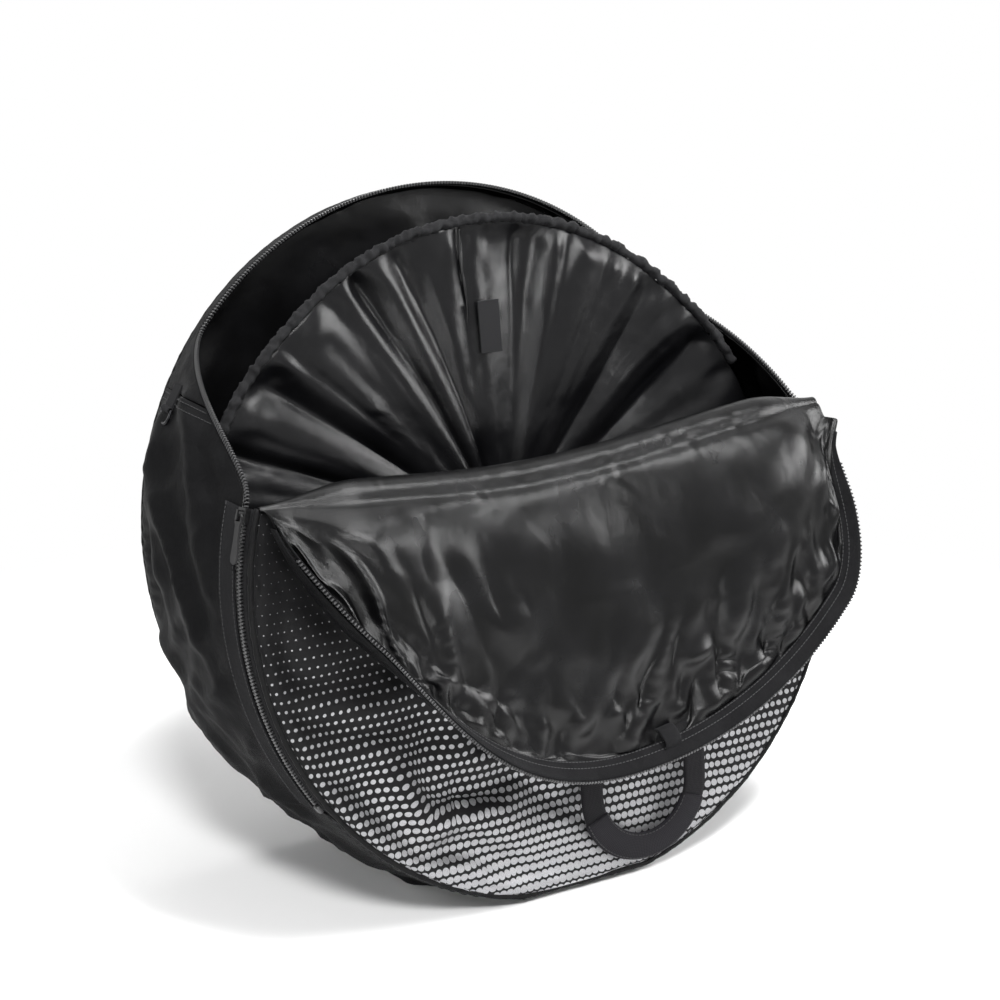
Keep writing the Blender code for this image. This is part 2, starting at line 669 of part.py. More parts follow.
def make_band(cloth):
    """Gusset cloth round the flap, with its tape and its teeth."""
    tape = principled("flap_tape", "3a3a3c", 0.8)
    nylon = principled("flap_teeth", "1a1a1a", 0.45)
    steps = band_steps()
    loft("flap_gusset", [band_section(a, 0, band_width(a), 0, GUSSET_WALL) for a in steps], cloth)
    low = (GUSSET_WALL - TAPE_THICKNESS) / 2
    high = low + TAPE_THICKNESS
    strip_rings = []
    for a in steps:
        start = band_width(a) + GAP
        strip_rings.append(band_section(a, start, start + TAPE_WIDTH, low, high))
    loft("flap_tape", strip_rings, tape)

    def tooth(angle, reach):
        root = band_width(angle) + GAP + TAPE_WIDTH - TOOTH_SEAT
        return band_section(angle, root, root + reach, high + GAP, high + GAP + TOOTH_HEIGHT)

    rings = [tooth(steps[0], TOOTH_REACH)]
    for before, after in zip(steps, steps[1:]):
        valley = zip(tooth(before, TOOTH_SEAT), tooth(after, TOOTH_SEAT))
        rings.append([(p + q) / 2 for p, q in valley])
        rings.append(tooth(after, TOOTH_REACH))
    loft("flap_teeth", rings, nylon)


def make_handle(label, shift, pivot_v, patch_near, slope):
    """U of webbing with a padded grip, and the two patches that hold it.

    The webbing pivots on a level line at pivot_v and leaves the patches at the slope.
    """
    webbing = principled("webbing_" + label, "1c1b1f", 0.8)
    padded = principled("grip_" + label, "201f24", 0.75)
    bow = HANDLE_SPAN / 2
    half = HANDLE_WIDTH / 2
    bow_v = pivot_v - HANDLE_DROP + bow + half
    wrap = pi / 2 * GRIP_SHARE
    face = patch_near + PATCH_THICKNESS + GAP + HANDLE_THICKNESS / 2

    def at(point, off):
        u, v = point
        return place((u, face + (pivot_v - v) * slope + off, v))

    def centre_line(a):
        return (shift + bow * cos(a), bow_v + bow * sin(a)), (cos(a), sin(a))

    def section(centre, spread, wide, deep):
        corners = [(-wide, -deep), (wide, -deep), (wide, deep), (-wide, deep)]
        return [at((centre[0] + spread[0] * x, centre[1] + spread[1] * x), off) for x, off in corners]

    line = [((shift - bow, pivot_v), (-1, 0))]
    line += [centre_line(a) for a in angles(pi, TURN, HANDLE_FACET)]
    line.append(((shift + bow, pivot_v), (1, 0)))
    loft(label + "_handle", [section(*spot, half, HANDLE_THICKNESS / 2) for spot in line], webbing)
    sleeve = [centre_line(a) for a in angles(1.5 * pi - wrap, 1.5 * pi + wrap, HANDLE_FACET)]
    inner = [section(*spot, half + GAP, HANDLE_THICKNESS / 2 + GAP) for spot in sleeve]
    outer = [section(*spot, half + GRIP_THICKNESS / 2, GRIP_THICKNESS / 2) for spot in sleeve]
    make_sleeve(label + "_grip", inner, outer, padded)
    for side, name in ((-1, "left"), (1, "right")):
        u = shift + side * bow
        low = pivot_v - HANDLE_SEAT
        high = low + PATCH_HEIGHT
        width = PATCH_WIDTH / 2
        outline = [(u - width, low), (u + width, low), (u + width, high), (u - width, high)]
        slab(label + "_patch_" + name, outline, patch_near, patch_near + PATCH_THICKNESS, webbing)


def make_sleeve(name, inner, outer, material):
    """Open-ended sleeve between two sets of equal rings."""
    bm = bmesh.new()
    loops = [[[bm.verts.new(p) for p in ring] for ring in pair] for pair in zip(inner, outer)]
    for before, after in zip(loops, loops[1:]):
        for here, there in zip(before, after):
            for j in range(len(here)):
                k = (j + 1) % len(here)
                bm.faces.new((here[j], here[k], there[k], there[j]))
    for inside, outside in (loops[0], loops[-1]):
        for j in range(len(inside)):
            k = (j + 1) % len(inside)
            bm.faces.new((inside[j], inside[k], outside[k], outside[j]))
    add_object(name, bm, material)


def make_handles():
    """The front handle rests on the lower panel behind the flap; the rear one hangs straight down."""
    pivot = 2 * FOLD_HEIGHT - (RIM_RADIUS - HANDLE_ANCHOR)
    patch_near = FLAP_FACE + GAP
    start = patch_near + PATCH_THICKNESS + GAP + HANDLE_THICKNESS / 2
    slope = -(start + GRIP_THICKNESS / 2 + 2 * GAP) / HANDLE_DROP
    make_handle("front", HANDLE_SHIFT, pivot, patch_near, slope)
    make_handle("rear", 0, RIM_RADIUS - HANDLE_ANCHOR, BAG_DEPTH + GAP, sin(LEAN))


def make_rings():
    webbing = principled("ring_loop_webbing", "1c1b1f", 0.8)
    steel = principled("ring_steel", "3c3c3e", 0.3, 1.0)
    tunnel = (RING_WIRE + GAP) / cos(pi / 8)
    barrel = tunnel + LOOP_THICKNESS / 2
    height = RIM_RADIUS + RING_SEAT + barrel
    inner_half = RING_WIDTH / 2 - 2 * RING_WIRE - RING_SEAT
    ends = (RING_DEPTH - inner_half, RING_DEPTH + inner_half)
    for side, label in ((-1, "left"), (1, "right")):
        angle = mirrored(RING_ANGLE, side)
        direction = -side

        def at(offset, r, w):
            a = angle + direction * offset / RIM_RADIUS
            return place(((r + swell(w)) * cos(a), w, (r + swell(w)) * sin(a)))

        rings = []
        for turn in angles(0, TURN, pi / 4)[:-1]:
            ring = []
            for radius, w in ((tunnel, ends[0]), (tunnel, ends[1]), (barrel, ends[1]), (barrel, ends[0])):
                ring.append(at(radius * cos(turn), height + radius * sin(turn), w))
            rings.append(ring)
        loop = loft("ring_loop_" + label, rings, webbing, closed=True)
        low = RIM_RADIUS + RING_SEAT
        tail_end = -(tunnel + LOOP_THICKNESS / 4)
        profile = [(-LOOP_LENGTH, low), (-LOOP_LENGTH, low + LOOP_THICKNESS / 2),
                   (tail_end, height), (tail_end, low)]
        inside = (ends[0] + GAP, ends[1] - GAP)
        tail = loft("tail_" + label, [[at(x, r, w) for x, r in profile] for w in inside], webbing)
        tail.hide_render = True
        tail.display_type = "WIRE"
        union = loop.modifiers.new("tail", "BOOLEAN")
        union.operation = "UNION"
        union.object = tail
        make_d_ring("ring_" + label, angle, direction, height, steel)


def make_d_ring(name, angle, direction, radius, material):
    """D of round wire lying on the gusset, its straight side in the loop."""
    along = Vector((-sin(angle), cos(angle))) * direction
    out = Vector((cos(angle), sin(angle)))
    half = RING_WIDTH / 2 - RING_WIRE
    start = out * radius
    points = []
    for share_w, share_t in D_SHARES:
        w = RING_DEPTH + share_w * half
        spot = start + along * (share_t * (RING_HEIGHT - 2 * RING_WIRE)) + out * swell(w)
        points.append(place((spot.x, w, spot.y)))
    cord(name, points, RING_WIRE, material, cyclic=True)


def make_flap_loop():
    """Sewn flat on the band, on stations that the band has too."""
    webbing = principled("flap_loop_webbing", "303033", 0.7)
    far = BAND_CLOTH - FLAP_LOOP_INSET
    near = far - FLAP_LOOP_LENGTH
    steps = [a for a in band_steps() if abs(a - FLAP_LOOP_ANGLE) < FLAP_LOOP_SPREAD]
    rings = [band_section(a, near, far, -GAP - FLAP_LOOP_THICKNESS, -GAP) for a in steps]
    loft("flap_loop", rings, webbing)


def main():
    for item in list(bpy.data.objects):
        bpy.data.objects.remove(item)
    make_front()
    make_rear()
    make_piping()
    make_gusset()
    make_zip()
    make_sliders()
    make_divider()
    make_flap()
    make_handles()
    make_rings()
    make_flap_loop()


main()
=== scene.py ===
"""Looks of the padded bike wheel bag: cloth, zip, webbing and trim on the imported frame.

Bag places are (u, w, v): u right of the front panel's centre, v up along it, w into the bag,
all in metres. place() turns them into world coordinates.
"""

from math import asin, ceil, cos, floor, pi, radians, sin, sqrt

import bmesh
import bpy
import numpy as np
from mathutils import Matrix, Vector, noise


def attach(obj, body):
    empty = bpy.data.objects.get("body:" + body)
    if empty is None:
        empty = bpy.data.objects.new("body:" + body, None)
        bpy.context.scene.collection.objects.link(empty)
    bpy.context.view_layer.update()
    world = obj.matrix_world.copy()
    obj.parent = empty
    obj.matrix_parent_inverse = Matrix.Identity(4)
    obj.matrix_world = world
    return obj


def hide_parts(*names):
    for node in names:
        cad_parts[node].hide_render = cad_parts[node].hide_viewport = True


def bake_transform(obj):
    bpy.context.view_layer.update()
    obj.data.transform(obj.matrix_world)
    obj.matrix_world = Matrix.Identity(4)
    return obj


bl_info = {
    "name": "Wheel Bag Looks",
    "version": (1, 0, 0),
    "blender": (4, 5, 0),
    "location": "View3D > Sidebar > Wheel Bag",
    "description": "Builds the cloth, zip, webbing and trim of a padded wheel bag",
    "category": "Object",
}

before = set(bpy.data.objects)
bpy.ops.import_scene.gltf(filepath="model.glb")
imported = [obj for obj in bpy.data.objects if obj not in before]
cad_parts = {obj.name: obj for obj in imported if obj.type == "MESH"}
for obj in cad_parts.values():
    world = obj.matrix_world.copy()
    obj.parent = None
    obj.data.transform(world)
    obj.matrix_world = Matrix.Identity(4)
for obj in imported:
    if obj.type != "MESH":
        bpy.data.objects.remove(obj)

# The bag's main sizes in metres, as in the CAD
LEAN = radians(8.5)
FRONT_Y = -0.07622
CENTRE_UP = 0.33111
ZIP_ZONE = 0.032
RIM = 0.338
DEPTH = 0.250
BASE_DROP = 0.330
FOLD = 0.102
FOLD_OUT = 0.012
SWELL = 0.012
SIDE_THICK = 0.0062
CLEAR = 0.0003
TAU = 2 * pi

# Seams and piping
PIPING_R = 0.33400
PIPING_W = 0.0028
PIPING_THICK = 0.0029
SEAM_R = 0.3371
SEAM_W = 0.0062
REAR_SEAM = 0.2438
CROSS_SEAM = radians(151.0)
SEAM_LAP = 0.0006

# Zip: the closed chain runs from a slider down to the chain's end, the open one round the mouth
SLIDER_ANGLE = pi - asin(FOLD / RIM)
CHAIN_END = radians(215.0)
CHAIN_FRONT = 0.0132
CHAIN_BACK = 0.0159
MOUTH_BACK = 0.222
MOUTH_SLOPE_END = radians(139.0)
GUSSET_TAPE = 0.0192
TAPE_W = 0.009
TAPE_TOP = RIM - 0.0012
TAPE_THICK = 0.0009
TOOTH_LONG = 0.0053
TOOTH_ROOT = 0.0020
TOOTH_SIZE = (0.0020, TOOTH_LONG - 0.0004, 0.0028)
FLAP_TOOTH_SIZE = (0.0020, 0.0048, 0.0030)
STOP_SIZE = (0.0085, 0.0092, 0.0038)
TOOTH_CHAMFER = 0.3

# Flap, hung inside out, and its band of side cloth
FLAP_W = -0.024
BAND_START = radians(20.0)
BAND_FULL = radians(44.0)
BAND_CLOTH = 0.0774
BAND_NARROW = 0.008
BAND_LIFTS = ((17, 55), (42, 28), (88, 38), (140, 85), (163, 88))
BAND_UV_R = 0.38
BAND_FACE = 0.0015

# Divider and its free upper edge
DIVIDER_W = 0.1146
DIVIDER_FREE = radians(165.0)
DIVIDER_TOP = 0.318
HEM_R = 0.005
SLIT_U = -0.021

# Handles: a webbing loop down from its patches, on the front and on the rear
HANDLE_SPAN = 0.125
HANDLE_WIDTH = 0.025
HANDLE_DROP = 0.272
HANDLE_PIVOT = RIM - 0.090
PATCH_THICK = 0.0014
WEB_THICK = 0.0020

# Heights on the front panel between which the printed dots grow
DOTS_START = 0.012
DOTS_END = -0.325

# Light cloth on foam, which buckles into folds a few centimetres wide
CLOTH = {
    "quality": 7, "mass": 0.12, "air_damping": 2.0, "tension_stiffness": 18, "compression_stiffness": 18,
    "shear_stiffness": 9, "bending_stiffness": 0.35, "bending_damping": 2.0,
}

# Sizes of the cloths' patterns in metres, from 125 mm for a worn patch to 1.1 mm for worn foil
WORN_PATCH = 1 / 8
SATIN_PATCH = 1 / 14
SHARP_CREASE = 1 / 21
SATIN_CREASE = 1 / 38
DYE_BLOTCH = 1 / 30
PRINT_CRUMPLE = 1 / 30
SOFT_CRUMPLE = 1 / 60
FOIL_WEAR = 1 / 900

# Camera and light; a lamp has a name, a place, a power in watts and a width
YAW = radians(31.381)
PITCH = radians(-16.996)
CAMERA_AT = (-1.1879, -1.9055, 1.0606)
LENS = 84.6
SENSOR = 36
AIM = Vector((0, 0, 0.33))
LAMPS = (
    ("key", (-1.2, -2.1, 2.5), 92, 0.6),
    ("high", (0.4, -1.0, 2.8), 116, 0.8),
    ("top", (0.2, 0.4, 2.9), 28, 1.2),
    ("right", (2.4, -1.1, 1.35), 72, 0.9),
    ("left", (-2.6, 0.6, 1.6), 14, 0.6),
    ("low", (-1.6, -2.3, 0.5), 26, 0.5),
)
FLOOR_Z = -0.0006
FADE_START = 0.55
FADE_END = 1.15
WHITE = (1, 1, 1, 1)


def place(u, w, v):
    """Bag coordinates, numbers or arrays, to world points."""
    near = np.minimum(w, ZIP_ZONE)
    far = np.maximum(w - ZIP_ZONE, 0)
    y = FRONT_Y + v * sin(LEAN) + near * cos(LEAN) + far
    z = CENTRE_UP + v * cos(LEAN) - near * sin(LEAN)
    return np.stack(np.broadcast_arrays(np.asarray(u, float), y, z), -1)


def smooth(x):
    """Eases from 0 to 1 as x does."""
    x = np.clip(x, 0, 1)
    return x * x * (3 - 2 * x)


def fbm(x, y, seed, octaves=3):
    """Smooth noise of two arrays, about -1 to 1."""
    x, y = np.broadcast_arrays(x, y)
    fall_off, finer = 1.0, 2.0
    out = [noise.fractal(Vector((a, b, seed)), fall_off, finer, octaves) for a, b in zip(x.flat, y.flat)]
    return np.array(out).reshape(x.shape)


def ridge(x, y, seed):
    """Creases: sharp along thin lines, 0 to 1."""
    narrow = 1.6
    return (1 - np.abs(fbm(x, y, seed, 2)) * narrow).clip(0, 1) ** 2


def rim_uv(radius, angle, inset):
    """Round the rim, flat where the bag stands; inset is how far inside the rim."""
    return radius * np.cos(angle), np.maximum(radius * np.sin(angle), inset - BASE_DROP)


def swell(w):
    """How far the side swells out between the zip and the rear seam."""
    share = (w - ZIP_ZONE) / (REAR_SEAM - ZIP_ZONE)
    return np.where((share > 0) & (share < 1), SWELL * np.sin(pi * share), 0)


def left_half(angle):
    """An angle or its mirror image on the bag's left half."""
    a = np.mod(angle, TAU)
    return np.where((a >= pi / 2) & (a <= 1.5 * pi), a, np.mod(pi - a, TAU))


def tape_edge(angle):
    """Depth of the gusset tape's front edge."""
    share = (SLIDER_ANGLE - left_half(angle)) / (SLIDER_ANGLE - MOUTH_SLOPE_END)
    return GUSSET_TAPE + (MOUTH_BACK - GUSSET_TAPE) * smooth(share)


def gusset_edge(angle):
    """Depth where the gusset's cloth starts: at the seam below the zip, under the tape beside it."""
    past, lap = 0.013, 0.001
    return np.where(left_half(angle) > CHAIN_END + past, SEAM_W, tape_edge(angle) + TAPE_W - lap)


def grow(name, verts, faces, uvs=None, slots=None, materials=(), level=0, sharp=None):
    """A mesh object from arrays, with a UV layer in metres and one material slot a face group."""
    mesh = bpy.data.meshes.new(name)
    mesh.from_pydata([tuple(map(float, p)) for p in verts], [], faces)
    if uvs is not None:
        layer = mesh.uv_layers.new(name="Cloth")
        layer.data.foreach_set("uv", np.asarray(uvs, np.float32).ravel())
    for material in materials:
        mesh.materials.append(material)
    if slots is not None:
        mesh.polygons.foreach_set("material_index", np.asarray(slots, np.int32))
    bm = bmesh.new()
    bm.from_mesh(mesh)
    bmesh.ops.recalc_face_normals(bm, faces=bm.faces)
    bm.to_mesh(mesh)
    bm.free()
    mesh.shade_smooth()
    if sharp:
        mesh.set_sharp_from_angle(angle=radians(sharp))
    obj = bpy.data.objects.new(name, mesh)
    bpy.context.collection.objects.link(obj)
    if level:
        sub = obj.modifiers.new("smooth", "SUBSURF")
        sub.levels = sub.render_levels = level
    return obj


def shell(name, front, back, uv, materials, wrap=False, level=1):
    """A closed sheet between two grids of world points; slot 0 is the front, 1 the back, 2 the edge."""
    n, m = front.shape[:2]
    cols = m if wrap else m - 1

    def vertex(i, j, side):
        return side * n * m + i * m + j % m

    faces, uvs, slots = [], [], []

    def add(corners, slot):
        faces.append([vertex(i, j, side) for i, j, side in corners])
        uvs.extend(uv[i, j] for i, j, side in corners)
        slots.append(slot)

    for i in range(n - 1):
        for j in range(cols):
            add([(i, j, 0), (i, j + 1, 0), (i + 1, j + 1, 0), (i + 1, j, 0)], 0)
            add([(i, j, 1), (i + 1, j, 1), (i + 1, j + 1, 1), (i, j + 1, 1)], 1)
    last = len(materials) - 1
    for i in (0, n - 1):
        for j in range(cols):
            add([(i, j, 0), (i, j, 1), (i, j + 1, 1), (i, j + 1, 0)], last)
    if not wrap:
        for j in (0, m - 1):
            for i in range(n - 1):
                add([(i, j, 0), (i + 1, j, 0), (i + 1, j, 1), (i, j, 1)], last)
    verts = np.concatenate([front.reshape(-1, 3), back.reshape(-1, 3)])
    return grow(name, verts, faces, uvs, slots, materials, level)


def unit(vectors, least=0.0):
    """Vectors at length 1, with a least length against division by nothing."""
    return vectors / np.maximum(np.linalg.norm(vectors, axis=-1, keepdims=True), least)


def normals(points):
    """Unit normals of a grid of points."""
    return unit(np.cross(np.gradient(points, axis=0), np.gradient(points, axis=1)), 1e-12)


def run_length(points):
    """Length along a row of points, from 0 at the first."""
    return np.concatenate([[0], np.cumsum(np.linalg.norm(np.diff(points, axis=0), axis=1))])


def settle(points, pinned, growth, push, gravity, frames, cap, side=1):
    """Grid of cloth that is larger than what it is sewn to, buckled by a short simulation."""
    n, m = points.shape[:2]
    faces = [(i * m + j, i * m + j + 1, (i + 1) * m + j + 1, (i + 1) * m + j)
             for i in range(n - 1) for j in range(m - 1)]
    mesh = bpy.data.meshes.new("settle")
    mesh.from_pydata([tuple(map(float, p)) for p in points.reshape(-1, 3)], [], faces)
    obj = bpy.data.objects.new("settle", mesh)
    bpy.context.collection.objects.link(obj)
    group = obj.vertex_groups.new(name="pin")
    group.add([int(i) for i in np.flatnonzero(pinned.ravel())], 1.0, "REPLACE")
    cloth = obj.modifiers.new("cloth", "CLOTH")
    for key, value in CLOTH.items():
        setattr(cloth.settings, key, value)
    cloth.settings.vertex_group_mass = "pin"
    cloth.settings.shrink_min = -growth
    cloth.settings.use_pressure = True
    cloth.settings.uniform_pressure_force = -push * side
    cloth.settings.effector_weights.gravity = gravity
    cloth.collision_settings.use_collision = False
    scene = bpy.context.scene
    scene.frame_start, scene.frame_end = 1, frames
    cloth.point_cache.frame_start, cloth.point_cache.frame_end = 1, frames
    for moment in range(1, frames + 1):
        scene.frame_set(moment)
    done = obj.evaluated_get(bpy.context.evaluated_depsgraph_get())
    out = np.array([v.co for v in done.data.vertices]).reshape(n, m, 3)
    bpy.data.objects.remove(obj)
    bpy.data.meshes.remove(mesh)
    scene.frame_set(1)
    # The cloth may not sink into what it lies on, nor move further than the cap
    sink, least = 0.001, 1e-9
    n0 = normals(points) * side
    move = out - points
    height = (move * n0).sum(2, keepdims=True)
    move += n0 * (np.maximum(height, -sink) - height)
    move *= np.minimum(1, cap / np.maximum(np.linalg.norm(move, axis=2, keepdims=True), least))
    even = move.copy()
    even[1:-1, 1:-1] = (move[:-2, 1:-1] + move[2:, 1:-1] + move[1:-1, :-2] + move[1:-1, 2:]) / 4
    return points + np.where(pinned[..., None], move, (move + even) / 2)


def tube(name, path, radius, material, ruche, ring=12, cyclic=False, pitch=0.01, body="bag"):
    """Round cord along world points; ruche is a share of the radius that its gathers stand out."""
    path = np.asarray(path, float)
    count = len(path)
    if cyclic:
        along = np.roll(path, -1, 0) - np.roll(path, 1, 0)
    else:
        along = np.gradient(path, axis=0)
    along = unit(along)
    length = run_length(path)
    side = unit(np.cross(along, np.array([0.0, cos(LEAN), -sin(LEAN)])), 1e-9)
    top = np.cross(side, along)
    round_gathers, last_step = 0.4, 0.005
    verts, faces, uvs = [], [], []
    for i in range(count):
        for k in range(ring):
            t = TAU * k / ring
            wave = 1 + ruche * fbm(np.array([length[i] / pitch]), np.array([t * round_gathers]), 3.0)[0]
            verts.append(path[i] + radius * wave * (side[i] * cos(t) + top[i] * sin(t)))
    for i in range(count if cyclic else count - 1):
        k2 = (i + 1) % count
        for k in range(ring):
            j = (k + 1) % ring
            faces.append((i * ring + k, k2 * ring + k, k2 * ring + j, i * ring + j))
            far = length[k2] if k2 else length[-1] + last_step
            a0, a1 = radius * TAU * k / ring, radius * TAU * (k + 1) / ring
            uvs += [(length[i], a0), (far, a0), (far, a1), (length[i], a1)]
    if not cyclic:
        faces.append(tuple(range(ring)))
        faces.append(tuple((count - 1) * ring + k for k in range(ring)))
        uvs += [(0, 0)] * (2 * ring)
    obj = grow(name, verts, faces, uvs, None, [material])
    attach(obj, body)
    return obj


def ribbon(name, centre, across, normal, width, thick, materials, body, level=0, crown=0.0):
    """Flat webbing along world points, with directions across it and off its face at each point."""
    centre, across, normal = (np.asarray(a, float) for a in (centre, across, normal))
    shares = np.linspace(-0.5, 0.5, 7)
    lift = crown * (1 - (2 * shares) ** 2)
    half = thick / 2
    spread = np.multiply.outer(np.broadcast_to(width, len(centre)), shares)
    grid = centre[:, None] + across[:, None] * spread[..., None]
    front = grid + normal[:, None] * (half + lift)[None, :, None]
    back = grid - normal[:, None] * half
    uv = np.stack(np.broadcast_arrays(run_length(centre)[:, None], spread), -1)
    obj = shell(name, front, back, uv, materials, level=level)
    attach(obj, body)
    return obj


def blocks(name, frames, size, material, body, chamfer=0.25):
    """Many small chamfered blocks: each frame is (centre, x, y, z) with unit axes, size its edges."""
    verts, faces = [], []
    x, y, z = (s / 2 for s in size)
    c = min(x, y, z) * chamfer * 2
    taper = 1.5
    ring = [(-x + c, -y), (x - c, -y), (x, -y + c), (x, y - c),
            (x - c, y), (-x + c, y), (-x, y - c), (-x, -y + c)]
    local = [(px, py, -z) for px, py in ring]
    local += [(px * (1 - c / x / taper), py * (1 - c / y / taper), z) for px, py in ring]
    local += [(px, py, z - c) for px, py in ring]
    local = np.array(local)
    sides = len(ring)
    for centre, ex, ey, ez in frames:
        low = len(verts)
        top, edge = low + sides, low + 2 * sides
        verts.extend(np.asarray(centre) + local @ np.array([ex, ey, ez]))
        for k in range(sides):
            j = (k + 1) % sides
            faces.append((low + k, low + j, edge + j, edge + k))
            faces.append((edge + k, edge + j, top + j, top + k))
        faces.append(tuple(low + k for k in reversed(range(sides))))
        faces.append(tuple(top + k for k in range(sides)))
    obj = grow(name, verts, faces, None, None, [material], sharp=30)
    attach(obj, body)
    return obj


def stitches(name, paths, material, body, pitch):
    """Thread along paths of (point, normal) pairs."""
    wide, high, least = 0.0007, 0.0005, 1e-9
    frames = []
    for path in paths:
        points = np.array([p for p, q in path])
        offs = np.array([q for p, q in path])
        length = run_length(points)
        steps = np.linalg.norm(np.diff(points, axis=0), axis=1)
        for s in np.arange(pitch / 2, length[-1], pitch):
            i = max(min(np.searchsorted(length, s) - 1, len(steps) - 1), 0)
            t = (s - length[i]) / max(steps[i], least)
            p = points[i] + (points[i + 1] - points[i]) * t
            ex = (points[i + 1] - points[i]) / max(steps[i], least)
            n = offs[i] + (offs[i + 1] - offs[i]) * t
            ey = np.cross(n, ex)
            ey /= max(np.linalg.norm(ey), least)
            frames.append((p, ex, ey, np.cross(ex, ey)))
    blocks(name, frames, (pitch * 2 / 3, wide, high), material, body)


# Materials

def srgb(code):
    """Linear colour from an sRGB hex code."""
    values = [int(code[i:i + 2], 16) / 255 for i in (0, 2, 4)]
    return [v / 12.92 if v <= 0.04045 else ((v + 0.055) / 1.055) ** 2.4 for v in values] + [1.0]


def node(tree, kind, inputs=None, out=None, **settings):
    """Adds a node with its settings, links or sets its inputs, and gives the node or one of its outputs."""
    made = tree.nodes.new("ShaderNode" + kind)
    for key, value in settings.items():
        setattr(made, key, value)
    for key, value in (inputs or {}).items():
        if isinstance(value, bpy.types.NodeSocket):
            tree.links.new(value, made.inputs[key])
        else:
            made.inputs[key].default_value = value
    return made if out is None else made.outputs[out]


def start_material(name, constants):
    """A Principled material with its constant sockets set."""
    made = bpy.data.materials.new(name)
    made.use_nodes = True
    tree = made.node_tree
    shader = tree.nodes["Principled BSDF"]
    for key, value in constants.items():
        shader.inputs[key].default_value = value
    return made, tree, shader


def wire(tree, shader, colour, roughness, normal, metallic=None):
    """Links the patterns to the shader."""
    links = {"Base Color": colour, "Roughness": roughness, "Normal": normal, "Metallic": metallic}
    for key, value in links.items():
        if value is not None:
            tree.links.new(value, shader.inputs[key])


def weave(tree, uv, thread):
    """Height from -1 to 1 of a plain weave, drawn coarser than real so that its threads show."""
    turned = node(tree, "VectorMath", {0: uv, 1: (TAU / thread, TAU / thread, 0)}, 0, operation="MULTIPLY")
    waves = node(tree, "VectorMath", {0: turned}, 0, operation="SINE")
    split = node(tree, "SeparateXYZ", {0: waves})
    return node(tree, "Math", {0: split.outputs[0], 1: split.outputs[1]}, 0, operation="MULTIPLY")


def tones(tree, pattern, light, dark, rough, below, above):
    """Colour and roughness that change together with a noise pattern."""
    low, high = 0.3, 0.7
    tone = node(tree, "MapRange", {0: pattern, 1: low, 2: high}, 0)
    colour = node(tree, "Mix", {0: tone, 6: srgb(dark), 7: srgb(light)}, 2, data_type="RGBA")
    gloss = node(tree, "MapRange", {0: pattern, 1: low, 2: high, 3: rough - below, 4: rough + above}, 0)
    return colour, gloss


def woven(name, light, dark, rough, thread, height, sheen=0.03):
    """Woven synthetic cloth: thread relief, uneven dye, and the soft crumples of a folded bag."""
    made, tree, shader = start_material(name, {
        "Sheen Weight": sheen, "Sheen Roughness": 0.45, "Sheen Tint": srgb("b8b8bc"),
        "Specular IOR Level": 0.06})
    uv = node(tree, "UVMap", out=0, uv_map="Cloth")
    blotch = node(tree, "TexNoise", {"Vector": uv, "Scale": 1 / DYE_BLOTCH, "Detail": 5.0}, 0)
    dye, gloss = tones(tree, blotch, light, dark, rough, 0.06, 0.06)
    cross = weave(tree, uv, thread)
    # The weave's dips are drawn darker and its crossings lighter: painted shade and painted highlight on the
    # threads
    shade = node(tree, "MapRange", {0: cross, 1: -1.0, 2: 1.0, 3: 0.75, 4: 1.15}, 0)
    colour = node(tree, "VectorMath", {0: dye, "Scale": shade}, 0, operation="SCALE")
    crumple = {"Vector": uv, "Scale": 1 / SOFT_CRUMPLE, "Detail": 4.0, "Distortion": 0.6}
    soft = node(tree, "TexNoise", crumple, 0)
    low = node(tree, "Bump", {"Height": soft, "Strength": 1.0, "Distance": 0.0018}, 0)
    fine = node(tree, "Bump", {"Height": cross, "Strength": 0.6, "Distance": height, "Normal": low}, 0)
    wire(tree, shader, colour, gloss, fine)
    return made


def satin_cloth(name, light, dark, rough, thread):
    """Woven polyester satin: dark, nearly smooth, with a soft bright sheen along its creases."""
    made, tree, shader = start_material(name, {"Specular IOR Level": 0.2, "Anisotropic": 0.2})
    uv = node(tree, "UVMap", out=0, uv_map="Cloth")
    patch = node(tree, "TexNoise", {"Vector": uv, "Scale": 1 / SATIN_PATCH, "Detail": 4.0}, 0)
    colour, gloss = tones(tree, patch, light, dark, rough, 0.04, 0.05)
    soft_crease = {"Vector": uv, "Scale": 1 / SATIN_CREASE, "Detail": 3.0, "Roughness": 0.4}
    crease = node(tree, "TexNoise", soft_crease, 0)
    soft = node(tree, "Bump", {"Height": crease, "Strength": 0.6, "Distance": 0.0012}, 0)
    # Only in worn patches is the cloth crumpled into sharp creases
    worn = node(tree, "TexNoise", {"Vector": uv, "Scale": 1 / WORN_PATCH, "Detail": 1.0}, 0)
    patchy = node(tree, "MapRange", {0: worn, 1: 0.45, 2: 0.6}, 0)
    sharp_crease = {
        "Vector": uv, "Scale": 1 / SHARP_CREASE, "Detail": 2.0, "Roughness": 0.4, "Distortion": 0.6,
    }
    sharp = node(tree, "TexNoise", sharp_crease, 0, noise_type="RIDGED_MULTIFRACTAL")
    folds = node(tree, "Math", {0: sharp, 1: patchy}, 0, operation="MULTIPLY")
    low = node(tree, "Bump", {"Height": folds, "Strength": 0.55, "Distance": 0.0035, "Normal": soft}, 0)
    cross = weave(tree, uv, thread)
    fine = node(tree, "Bump", {"Height": cross, "Strength": 0.3, "Distance": 0.00005, "Normal": low}, 0)
    wire(tree, shader, colour, gloss, fine)
    return made


